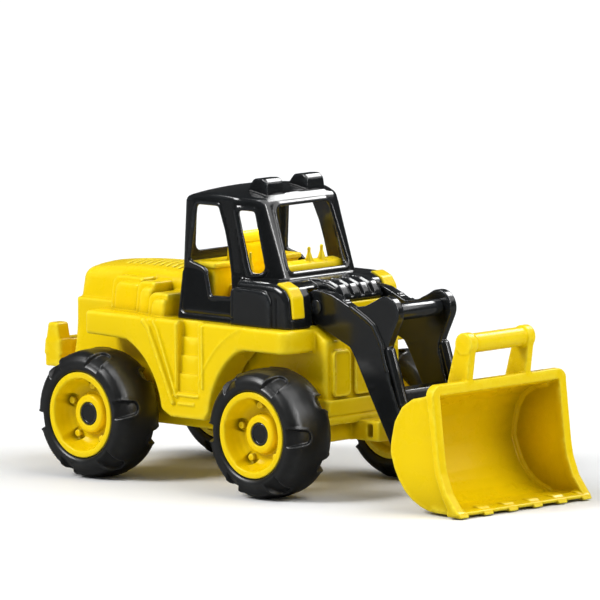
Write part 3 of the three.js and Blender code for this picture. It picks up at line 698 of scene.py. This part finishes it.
def rim_shape(turn):
    """The outer half of a rim: a flange, a deep dish with five bolts, and the hub."""
    table = turned_section(RIM_PROFILE, 0.8)
    floor = RIM_FACE - 20.6

    def shape(x, y, z):
        radius = np.hypot(x, z)
        d = section_at(table, radius, y)
        d = less(d, both(radius - 11.8, RIM_FACE - 17.5 - y), 0.5)
        for k in range(BOLTS):
            angle = math.radians(turn + 360 / BOLTS * k)
            away = np.hypot(x - BOLT_CIRCLE * math.cos(angle), z - BOLT_CIRCLE * math.sin(angle))
            backing = both(away - 9, slab(y, floor - 4, floor + 0.2))
            dimple = both(away - 6.6 - 0.10 * (y - floor), floor - y, 0.8)
            stud = both(both(away - 3.6, y - floor - 5.6, 0.9), floor - 2 - y)
            d = either(less(either(d, backing), dimple, 0.8), stud, 0.5)
        return d
    return shape


def placed(parts, x, side, name):
    """A mesh built about the wheel's middle, at its corner; the right side is turned half round."""
    points, triangles, quads, normals = parts
    turned = np.array([side, side, 1])
    return add_mesh(name, to_frame(points * turned, x, side * WHEEL_MID, AXLE_Z), triangles, quads,
                    None if normals is None else normals * turned)


def wheels():
    reach = TYRE_RADIUS + 2
    tyre_field = Field((-reach, -32, -reach), (reach, 32, reach), 0.65)
    rim_field = Field((-45, -1, -45), (45, 29, 45), 0.5)
    points, triangles, quads = turned_mesh([(0, -0.2), *RIM_BACK_PROFILE, (0, 5 - RIM_FACE)])
    rim_back = (points, triangles, quads, None)
    for place, x, tyre_turn, stud_turn in (("front", 0.0, -2, 85), ("rear", REAR_AXLE_X, -10, 95)):
        tyre = field_mesh(tyre_field, tyre_shape(tyre_turn), adaptivity=0.04)
        rim = field_mesh(rim_field, rim_shape(stud_turn), adaptivity=0.02)
        for side_name, side in SIDES:
            corner = f"{place}_{side_name}"
            body = f"wheel_{corner}"
            piece = placed(tyre, x, side, f"tyre_moulding_{corner}")
            dress(piece, body, f"tyre_{corner}", RUBBER)
            piece = placed(rim, x, side, f"rim_{corner}")
            dress(piece, body, f"rim_outer_{corner}", YELLOW)
            piece = placed(rim_back, x, side, f"rim_back_{corner}")
            flat_ends(piece)
            dress(piece, body, f"rim_inner_{corner}", YELLOW)
            hub_cap(corner, x, side)


def hub_cap(corner, x, side):
    """A slightly domed black cap over the axle's end."""
    face = RIM_FACE - 12.4
    ends = [(0, face - 4.6), (11.2, face - 4.6), (11.4, face - 4.2), (11.4, face - 1.0), (11.1, face - 0.3),
            (10.5, face), (9.2, face), (8.9, face - 0.5), (8.4, face - 0.6), (5, face - 0.4), (0, face - 0.3)]
    rod(f"hub_cap_{corner}", "chassis", f"axle_cap_{corner}", BLACK,
        [(r, side * y) for r, y in ends], x, AXLE_Z, side * WHEEL_MID)


# ---------------------------------------------------------------- cab
DOOR_OPENING = [(-131, 281), (-101, 281), (-90, 256), (-85, 239), (-76, 199), (-77.5, 193), (-104, 192),
                (-113, 216), (-119, 220), (-137.5, 224.5)]
QUARTER_OPENING = [(-74, 279), (-58.5, 278), (-43.3, 222), (-46, 217.5), (-55, 217), (-58, 225.5)]
COWL_PROFILE = [(-66, 120), (10.4, 120), (10, 168), (9.2, 177), (6.9, 197.6), (1.5, 206), (-9, 210.3),
                (-23, COWL_Z), (-66, COWL_Z)]
CHEEK_PROFILE = [(-70, 120), (-13, 120), (-14, 194), (-21, 203), (-70, 204)]
LAMP_PROFILE = [(-86, 280), (-83, 301), (-77, 308.5), (-64, 309.5), (-58.5, 305), (-56.5, 280)]
GRILLE_PROFILE = [(-14, 191.3), (33.5, 191.3), (34, 199), (27, 208), (14, 212.5), (-14, 213)]
GRILLE_PITCH = 14.9
HEADLIGHT_PROFILE = [(11.2, 176.5), (10.9, 180), (8.9, 198.3), (2.8, 207), (-9, 211.8), (-12, 211.8),
                     (-12, 208.6), (-10, 208.4), (0.6, 203.4), (5.7, 195.6), (7.4, 180), (7.4, 176.5)]
CAB_REAR = -150
CAB_WALL = 3
BELT_Z = 211
ROOF_SIDE_Z = 287


def cabin(x, y, z):
    """The upper cabin, with its angled front quarters and its crowned roof."""
    side = plane(x, y, z, (CAB_REAR, 72, BELT_Z), (-60, 72, BELT_Z), (CAB_REAR, 67, ROOF_SIDE_Z))
    quarter = plane(x, y, z, (-60, 72, BELT_Z), (-33, 57, BELT_Z), (-50.6, 53.5, ROOF_SIDE_Z))
    screen = slope(x, z, (-50.6, ROOF_SIDE_Z), (-23.7, BELT_Z))
    crown = z - 298.8 + 0.0027 * (x + 100) ** 2 + 0.0011 * y * y
    brow = slope(x, z, (-58, 293.4), (-50.2, ROOF_SIDE_Z))
    walls = both(both(side, quarter, 3), screen, 6)
    found = both(both(walls, CAB_REAR - x, 8), crown, 5)
    return both(found, brow, 0.8)


def door_panel(x, y, z):
    """The lower half of the side, which slopes in from the deck to the belt line."""
    lower = plane(x, y, z, (CAB_REAR, 80, DECK_Z), (-60, 80, DECK_Z), (CAB_REAR, 72.3, BELT_Z))
    return both(both(both(lower, z - 214, 2.5), CAB_REAR - x, 6), x + 62, 1.5)


def cowl(x, y, z):
    """The part ahead of the doors: a rounded core with a flat cheek on each side."""
    core = both(profile(COWL_PROFILE, x, z, 1.5), y - 81, 8)
    cheek = both(profile(CHEEK_PROFILE, x, z, 3), y - 84.2 + 0.02 * np.clip(z - 170, 0, 50), 2)
    return either(core, cheek, 0.8)


def lamp_pod(x, y, z):
    """A pair of these stands on the roof's front edge."""
    return both(profile(LAMP_PROFILE, x, z, 1.2), slab(y, 16, 42) + 0.10 * (z - 298), 1.6)


def grille(x, across, z):
    """The tongue between the arms, with four glossy ribs over its front edge."""
    gap = np.abs((across + GRILLE_PITCH / 2) % GRILLE_PITCH - GRILLE_PITCH / 2)
    depth = 3.0 * np.clip((x - 6) / 2, 0, 1) * np.clip((z - 196) / 2, 0, 1)
    grooves = (bead(gap, 1, 2.0, 0.9) * depth).astype(np.float32)
    return both(profile(GRILLE_PROFILE, x, z, 2) + grooves, np.abs(across) - 30.5, 2)


def cab_outside(x, across, z, openings):
    """The cab as a solid, with a bead around each opening and its engraved lines."""
    y = np.abs(across)
    door, quarter, screen, back = openings
    solid = either(either(cabin(x, y, z), door_panel(x, y, z), 2), cowl(x, y, z), 2)
    beads = np.maximum(bead(door - 2.2, 0.8, 1.3), bead(quarter - 2.6, 1.3, 1.6)) * (y > 46)
    beads = np.maximum(beads, bead(screen - 2.6, 1.2, 1.5) * (x > -75))
    beads = np.maximum(beads, bead(back - 2.4, 1.0, 1.4) * (x < -140))
    door_edge = both(both(-143.5 - x, 172.5 - z, 7), x + 66, 1)
    lines = bead(door_edge, 1.1, 0.7, 0.8) * ((z < 213) & (y > 60))
    lines = np.maximum(lines, bead(x + 128, 0.9, 0.5, 0.8) * ((z > 290) & (y < 34)))
    lines = np.maximum(lines, bead(x + 92, 0.9, 0.5, 0.8) * ((z > 290) & (y < 34)))
    seam = bead(slope(x, z, (-7.5, 120), (-9.5, 200)), 1.3, 0.8, 1.0)
    lines = np.maximum(lines, seam * ((z < 197) & (y > 74)))
    return solid, solid - beads + lines


def cab_shape(x, across, z):
    """The cab as a shell, with its openings and with room for the arms and headlights."""
    y = np.abs(across)
    door = profile(DOOR_OPENING, x, z, 1.6)
    quarter = profile(QUARTER_OPENING, x, z, 1.6)
    screen = both(np.abs(y) - 42 + (z - 219) * 0.0625, slab(z, 218.5, 281.5), 6)
    back = both(y - 52 + (z - 232) * 0.06, slab(z, 232, 279), 7)
    solid, outer = cab_outside(x, across, z, (door, quarter, screen, back))
    outer = either(outer, lamp_pod(x, y, z), 1.2)
    outer = either(outer, grille(x, across, z), 1)
    shell = less(outer, both(solid + CAB_WALL, z - 294), 1)
    for opening in (both(both(door, 40 - y), z - 290), both(quarter, 40 - y), both(screen, -80 - x),
                    both(back, x + 120)):
        shell = less(shell, opening, 0.8)
    dash_room = both(both(slab(x, -62, -32.5), y - 50, 4), slab(z, 190, 214))
    nose_room = both(both(slab(x, -20, 40), y - 30.8), z - 191.3)
    around_pivot = np.hypot(x - ARM_PIVOT[0], z - ARM_PIVOT[1]) - 20
    arm_room = np.minimum(around_pivot, both(slab(x, ARM_PIVOT[0], 60), slab(z, 120, 220)))
    arm_room = both(both(arm_room, slab(y, 31.8, 47), 1.5), -20 - x)
    shell = less(less(less(shell, dash_room), nose_room), arm_room, 1)
    shell = less(shell, both(headlight_shape(x, across, z, 0.5), 58 - y))
    return both(shell, DECK_Z + 0.4 - z, 0.6)


def cab_shell():
    field = Field((-153, -88, 164), (37, 88, 312), 0.65)
    moulding("cab_moulding", "chassis", "cab_shell", BLACK, field, cab_shape)


def headlight_shape(x, across, z, grow=0.0):
    """A strip over the cowl's edge; grow widens it into the recess that it sits in."""
    strip = profile(HEADLIGHT_PROFILE, x, z, 0.9) - grow
    return both(strip, slab(np.abs(across), 59.5 - grow, 75.5 + grow), 0.8)


def headlights():
    for side_name, side in SIDES:
        low, high = sorted((side * 58, side * 77))
        field = Field((-14, low, 175), (13, high, 214), 0.4)
        moulding(f"headlight_lens_{side_name}", "chassis", f"headlight_{side_name}", YELLOW, field,
                 headlight_shape)


def cone_lever(x, y, z, at_x, at_y, low, high):
    """A round lever with a wide foot, a waist and a small knob."""
    away = np.hypot(x - at_x, y - at_y)
    share = np.clip((z - low) / (high - low), 0, 1)
    radius = np.interp(share, [0, 0.15, 0.4, 0.65, 0.78, 0.9, 1], [5.0, 4.2, 3.0, 1.6, 1.8, 1.8, 1.4])
    return both(both((away - radius.astype(np.float32)) * 0.94, z - high, 1.2), low - 3 - z)


LEVERS = [(-43, 3, 223, 239), (-43, 21, 223, 240), (-78, -45, 213, 235)]


def interior_shape(x, across, z):
    """Floor, rear shelf, seat, dashboard, side console and levers, in one piece."""
    y = np.abs(across)
    floor_plate = both(both(slab(x, -146, -32), y - 65, 3), slab(z, 166.4, 184))
    shelf = both(both(slab(x, -146, -113), y - 62, 3), slab(z, 160, 221), 2)
    lip = both(both(slab(x, -146, -110), y - 63.5, 3), slab(z, 217, 222.5), 1.5)
    cushion = both(both(slab(x, -122, -84), y - 27, 6), slab(z, 160, 205), 4)
    wings = both(both(slab(x, -122, -80), slab(y, 28.5, 40), 3), slab(z, 160, 199), 3)
    lean = x - 0.10 * (z - 205) + 6
    width = y - 36 + np.clip(z - 236, 0, 20) * 0.5
    backrest = both(both(slab(lean, -118, -106), width, 4), slab(z, 190, 251), 4) + bead(z - 239, 0.9, 0.7)
    dash_profile = [(-60, 160), (-33, 160), (-33, 207), (-36, 223), (-50, 226), (-56, 220)]
    dash = both(profile(dash_profile, x, z, 1.5), y - 46, 3)
    console = both(both(slab(x, -98, -62), slab(across, -52, -38), 2.5), slab(z, 160, 214), 2.5)
    found = either(floor_plate, either(shelf, lip, 1.5), 2)
    found = either(found, either(cushion, backrest, 2), 1.5)
    found = either(either(found, wings, 1), either(dash, console, 1), 1.5)
    for lever in LEVERS:
        found = either(found, cone_lever(x, across, z, *lever), 0.8)
    return found


def cab_lining():
    field = Field((-148, -67, 164), (-30, 67, 253), 0.65)
    moulding("cab_interior", "chassis", "cab_lining", YELLOW, field, interior_shape)


# ---------------------------------------------------------------- loader arms
ARM_PROFILE = [
    *arc(*ARM_PIVOT, 17, 85, 250, 16), (57.7, 150), (64.6, 140.5), (87.7, 99),
    *arc(*BUCKET_PIVOT, 12.5, 205, 380, 16), (125.1, 91.9), (114.2, 116.2), (106, 146), (109.5, 157),
    *arc(*LUG, 17.5, -25, 130, 14), (77, 192.5), (60, 190), (45, 196.5), (32, 201.5),
]
# The edge where the lug steps back from the outer face of the arm.
LUG_STEP = [(60, 190), (80, 180), (90, 173.7), (95.3, 165), (100.8, 155.5), (104.8, 140.7), (108, 131)]
BEAM_PROFILE = [(92, 98), (98, 111), (118, 111), (122, 100), (124, 86), (112, 84)]


def arm_shape(side):
    """A flat arm with a lug, the ram moulded on its front and the bores of its two pivots."""
    def shape(x, across, z):
        y = side * across
        beam = both(profile(ARM_PROFILE, x, z, 1), slab(y, ARM_INNER, ARM_OUTER), 1.2)
        lug = profile([*LUG_STEP, (125, 131), (130, 220), (60, 220)], x, z, 0.8)
        beam = less(beam, both(lug, ARM_OUTER - 2.4 - y), 0.6)
        edge = both(line(LUG_STEP, x, z) - 1.6, slab(y, ARM_OUTER - 3, ARM_OUTER + 0.5), 0.6)
        ram = np.hypot(line([(108.5, 150), (126, 99)], x, z), y - 39) - 5.0
        ram = both(ram, slope(x, z, (100, 157.5), (114, 152)), 1)
        bump = both(np.hypot(x - 48, z - 193.5) - 3.2, slab(y, ARM_INNER + 2, ARM_OUTER - 2), 0.8)
        found = either(either(beam, edge, 0.4), either(ram, bump), 0.5)
        for at in (ARM_PIVOT, BUCKET_PIVOT):
            found = less(found, np.hypot(x - at[0], z - at[1]) - BORE_RADIUS, 0.5)
        return found
    return shape


def beam_shape(x, across, z):
    return both(profile(BEAM_PROFILE, x, z, 1), np.abs(across) - ARM_INNER + 0.3, 1)


def loader_arms():
    for side_name, side in SIDES:
        low, high = sorted((side * 32, side * 48))
        field = Field((-6, low, 37), (146, high, 208), 0.5)
        moulding(f"arm_{side_name}", "loader_arms", f"loader_arm_{side_name}", BLACK, field,
                 arm_shape(side))
    half = ARM_INNER - 0.3
    rod("arm_tube", "loader_arms", "arm_cross_tube", BLACK, rounded_rod(8.5, -half, half, 0.6), *LUG)
    field = Field((88, -35, 80), (128, 35, 115), 0.6)
    moulding("arm_beam", "loader_arms", "arm_cross_beam", BLACK, field, beam_shape)


# ---------------------------------------------------------------- bucket
BUCKET_HALF = 89.3
BUCKET_RIM = 97
BUCKET_INNER = 86.3
BUCKET_BACK = [(202.5, 117), (184.5, 113), (170.5, 104), (160.7, 89), (156, 70), (154.8, 58), (160, 43),
               (166, 31.5), (174, 21), (184, 13), (195, 7.4), (206, 4)]
BUCKET_FLOOR = [(247.5, 6.8), (206, 6.8), (196, 10), (186, 15), (176.5, 23), (168.5, 33), (163, 44.5),
                (158, 58), (159.2, 70), (163.7, 88), (172.5, 101.5), (186, 110), (203, 114)]
BUCKET_MOUTH = [(219.6, 121), (226.6, 58.7), (229.2, 43.8), (237.3, 24.3), (251, 7.2)]
BUCKET_BORDER = [*BUCKET_MOUTH, (253, 3), (241, 3), (229.7, 22), (221.5, 42.5), (219, 58), (210, 121),
                 (210, 130), (219.8, 130)]
TOOTH_PROFILE = [(238, 2), (254.6, 1.2), (256, 2), (254, 4.6), (246, 9.4), (239.5, 9.6), (238, 8)]
TOOTH_COUNT = 6
TOOTH_HALF = 8
GRIP = (214, 166)
POST_PROFILE = [(191, 118), (191, 126), (203.5, 168), *arc(*GRIP, 10.3, 160, -15, 10), (219, 129), (218, 120)]
EAR_PROFILE = [*arc(*BUCKET_PIVOT, 11, 100, 260, 12), (165, 32), (159, 46), (157, 60), (159, 74)]


def bucket_bowl(x, y, z):
    """The curved skin and its two side plates, with a bead where they meet inside."""
    skin = both(profile([*BUCKET_BACK, (222, 3), (253, 3), *BUCKET_FLOOR, (217, 118), (212, 121)], x, z, 1.2),
                y - BUCKET_HALF, 1.5)
    side = profile([*BUCKET_MOUTH, (253, 3), (222, 3), *BUCKET_BACK[::-1], (212, 121)], x, z, 1.2)
    found = either(skin, both(side, slab(y, BUCKET_INNER, BUCKET_HALF), 1), 1.5)
    crease = np.hypot(line(BUCKET_FLOOR[1:], x, z), y - BUCKET_INNER) - 2.8
    return either(found, crease, 0.4)


def bucket_frame(x, y, z):
    """The thick border round the mouth, the shoulder behind it and the lip."""
    corner = both(z - 130, y - BUCKET_RIM, 13)
    sides = both(both(profile(BUCKET_BORDER, x, z, 1), slab(y, BUCKET_INNER, BUCKET_RIM), 1.4), corner)
    top = both(both(both(slab(x, 210.8, 219.6), slab(z, 119, 130), 1.8), y - BUCKET_RIM), corner)
    shoulder = both(profile([(196, 113), (214, 118), (212, 126)], x, z), y - BUCKET_HALF + 1, 1.5)
    lip = both(3 - z, slope(x, z, (236, 8.2), (253, 6.4)))
    lip = both(both(slab(x, 236, 253), y - BUCKET_RIM, 3), lip, 0.8)
    return either(either(sides, top, 1.2), either(shoulder, lip), 1)


def bucket_handle(x, y, z):
    """Two posts with a round grip between them."""
    posts = both(profile(POST_PROFILE, x, z, 0.8), slab(y, 37.5, 46.2), 1.4)
    away = np.hypot(x - GRIP[0], z - GRIP[1])
    collar = both(away - 11.2, slab(y, 36.2, 47), 1.2)
    return either(either(posts, both(away - 9.7, y - 38), 1), collar, 1)


def bucket_shape(x, across, z):
    """The bowl and its frame, a row of teeth, the handle and the ears for the pins."""
    y = np.abs(across)
    found = either(bucket_bowl(x, y, z), bucket_frame(x, y, z), 1)
    pitch = 2 * (BUCKET_RIM - TOOTH_HALF) / (TOOTH_COUNT - 1)
    away = np.abs((across + BUCKET_RIM - TOOTH_HALF + pitch / 2) % pitch - pitch / 2)
    tooth = away - TOOTH_HALF + 0.16 * np.clip(x - 244, 0, 20)
    tooth = both(profile(TOOTH_PROFILE, x, z, 0.5), tooth, 0.8)
    found = either(found, both(tooth, y - BUCKET_RIM), 0.5)
    found = either(found, bucket_handle(x, y, z), 1.5)
    found = either(found, both(profile(EAR_PROFILE, x, z, 1), slab(y, 22, 31.5), 1), 1.5)
    bore = both(np.hypot(x - BUCKET_PIVOT[0], z - BUCKET_PIVOT[1]) - BORE_RADIUS, slab(y, 20, 33))
    return less(found, bore, 0.5)


def bucket():
    field = Field((114, -99, -1), (258, 99, 179), 0.7)
    moulding("bucket_moulding", "bucket", "bucket", BUCKET_YELLOW, field, bucket_shape)


# ---------------------------------------------------------------- hardware
def arm_hardware():
    """Screw heads and caps on the arms, and the pins that the bucket turns on."""
    for node, (x, z) in (("tube_screw", LUG), ("beam_screw", (104, 100))):
        head = [(0, -25), (1.3, -25), (1.3, 0), (3.4, 0), (4, 0.35), (3.9, 1.1), (3.2, 1.9), (2.0, 2.2),
                (1.7, 1.2), (0, 1.1)]
        rod(f"{node}_head", "loader_arms", node, STEEL, head, x, z, ARM_OUTER + 0.2)
    for side_name, side in SIDES:
        cap = [(0, 0), (6.6, 0), (7, 0.2), (7, 0.6), (6.4, 0.95), (0, 1)]
        rod(f"rod_cap_{side_name}", "loader_arms", f"pivot_cap_{side_name}", BLACK,
            [(r, side * y) for r, y in cap], *ARM_PIVOT, side * (ARM_OUTER + 0.8))
        pin = [(0, 20), (4.4, 20), (5, 20.6), (5, 45.3), (8, 45.3), (8, 46.6), (7.2, 47.3), (3, 47.5),
               (0, 47.5)]
        rod(f"bucket_pin_head_{side_name}", "loader_arms", f"bucket_pin_{side_name}", BLACK,
            [(r, side * y) for r, y in pin], *BUCKET_PIVOT)


def carried_over():
    """CAD nodes whose shape is already right keep it and get the material of their slot."""
    for name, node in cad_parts.items():
        steel = name.startswith(("axle_front", "axle_rear", "arm_pivot_rod", "chassis_screw"))
        if steel or name.startswith("axle_spacer"):
            node.data.materials.clear()
            node.data.materials.append((STEEL if steel else BLACK)[1])


# ---------------------------------------------------------------- floor, light and camera
def floor():
    mesh = bpy.data.meshes.new("floor")
    half = 12.0
    corners = [(-half, -half, 0), (half, -half, 0), (half, half, 0), (-half, half, 0)]
    mesh.from_pydata(corners, [], [(0, 1, 2, 3)])
    piece = bpy.data.objects.new("floor", mesh)
    bpy.context.scene.collection.objects.link(piece)
    material, tree, shader = nodes_of("floor_white")
    coords = tree.nodes.new("ShaderNodeTexCoord")
    tone = ramp(tree, noise(tree, coords, 2.5, 2), "Fac", [(0.3, grey(0.93)), (0.7, grey(0.95))])
    path = tree.nodes.new("ShaderNodeLightPath")
    bounced = mixed(tree, path.outputs["Is Diffuse Ray"], tone.outputs["Color"], grey(0.68))
    mirrored = mixed(tree, path.outputs["Is Glossy Ray"], bounced, grey(0.18))
    tree.links.new(mirrored, shader.inputs["Base Color"])
    shader.inputs["Roughness"].default_value = 0.6
    shader.inputs["Specular IOR Level"].default_value = 0.2
    mesh.materials.append(material)


def add_light(kind, name, direction, strength, distance=0.0, at=None, glossy_only=False, **settings):
    """A light that shines from that direction at the object's middle, or from a place of its own."""
    light = bpy.data.lights.new(name, kind)
    light.energy = strength
    for key, value in settings.items():
        setattr(light, key, value)
    lamp = bpy.data.objects.new(name, light)
    away = Vector(direction).normalized()
    centre = (Vector(cad_bounds[0]) + Vector(cad_bounds[1])) / 2
    lamp.location = at or centre + away * distance
    lamp.rotation_euler = away.to_track_quat("Z", "Y").to_euler()
    lamp.visible_diffuse = not glossy_only
    bpy.context.scene.collection.objects.link(lamp)


def studio():
    """Soft light from above and the near left, with boxes that only show as highlights."""
    add_light("SUN", "key", (-0.42, -0.80, 0.80), 2.35, angle=math.radians(24))
    add_light("SUN", "overhead", (0.75, 0.40, 0.95), 2.1, angle=math.radians(60))
    box = {"distance": 2.2, "glossy_only": True, "shape": "RECTANGLE"}
    add_light("AREA", "rear_box", (0.05, 0.75, 0.70), 24, size=0.9, size_y=0.5, **box)
    add_light("AREA", "top_box", (0.15, -0.15, 1.0), 9, size=0.7, size_y=0.7, **box)
    add_light("AREA", "front_strip", (1.0, 0.0, 0.48), 17, size=0.16, size_y=1.2, **box)
    add_light("AREA", "left_strip", (-0.55, -0.62, 0.80), 8, size=0.9, size_y=0.16, **box)
    under_roof = to_frame(np.array([[-100, 0, 283]]))[0]
    add_light("AREA", "cab_fill", (0, 0, 1), 0.11, at=Vector(under_roof.tolist()), size=0.06)


def chosen(tree, path, ray, otherwise, when):
    """A mix that shows when to rays of the named kind, and otherwise to the rest."""
    switch = tree.nodes.new("ShaderNodeMixShader")
    link(tree, path, ray, switch, "Fac")
    link(tree, otherwise, 0, switch, 1)
    link(tree, when, 0, switch, 2)
    return switch


def surroundings():
    """White to the camera, a soft cool glow on the surfaces, and nearly dark in reflections."""
    world = bpy.data.worlds.new("studio")
    world.use_nodes = True
    tree = world.node_tree
    seen = tree.nodes["Background"]
    seen.inputs["Color"].default_value = (1, 1, 1, 1)
    seen.inputs["Strength"].default_value = 1.0
    path = tree.nodes.new("ShaderNodeLightPath")
    around = []
    for strength in (0.32, 0.05):
        node = tree.nodes.new("ShaderNodeBackground")
        node.inputs["Color"].default_value = (0.93, 0.97, 1.0, 1)
        node.inputs["Strength"].default_value = strength
        around.append(node)
    lit = chosen(tree, path, "Is Glossy Ray", *around)
    link(tree, chosen(tree, path, "Is Camera Ray", lit, seen), 0, tree.nodes["World Output"], "Surface")
    bpy.context.scene.world = world
    bpy.context.scene.view_settings.view_transform = "Standard"


def camera():
    """A long lens at the front right corner, a little above the wheels."""
    azimuth, elevation, roll = (math.radians(a) for a in (43.9, 7.0, 0.42))
    across, distance, sensor = 0.600, 12.0, 36.0
    aim_right, aim_up = -0.03964, 0.18715
    back = Vector((math.sin(azimuth) * math.cos(elevation), -math.cos(azimuth) * math.cos(elevation),
                   math.sin(elevation)))
    level = Vector((math.cos(azimuth), math.sin(azimuth), 0))
    upright = back.cross(level)
    right = level * math.cos(roll) - upright * math.sin(roll)
    up = level * math.sin(roll) + upright * math.cos(roll)
    aim = Vector((FRONT_AXLE.x, 0, 0)) + right * aim_right + up * aim_up
    data = bpy.data.cameras.new("camera")
    data.sensor_width = sensor
    data.lens = sensor * distance / across
    data.clip_end = 100
    eye = bpy.data.objects.new("camera", data)
    turn = Matrix((right, up, back)).transposed().to_4x4()
    eye.matrix_world = Matrix.Translation(aim + back * distance) @ turn
    bpy.context.scene.collection.objects.link(eye)
    bpy.context.scene.camera = eye


body_shell()
rear_hitch()
chassis_base()
wheels()
cab_shell()
headlights()
cab_lining()
loader_arms()
bucket()
arm_hardware()
carried_over()
floor()
studio()
surroundings()
camera()

bpy.context.view_layer.update()
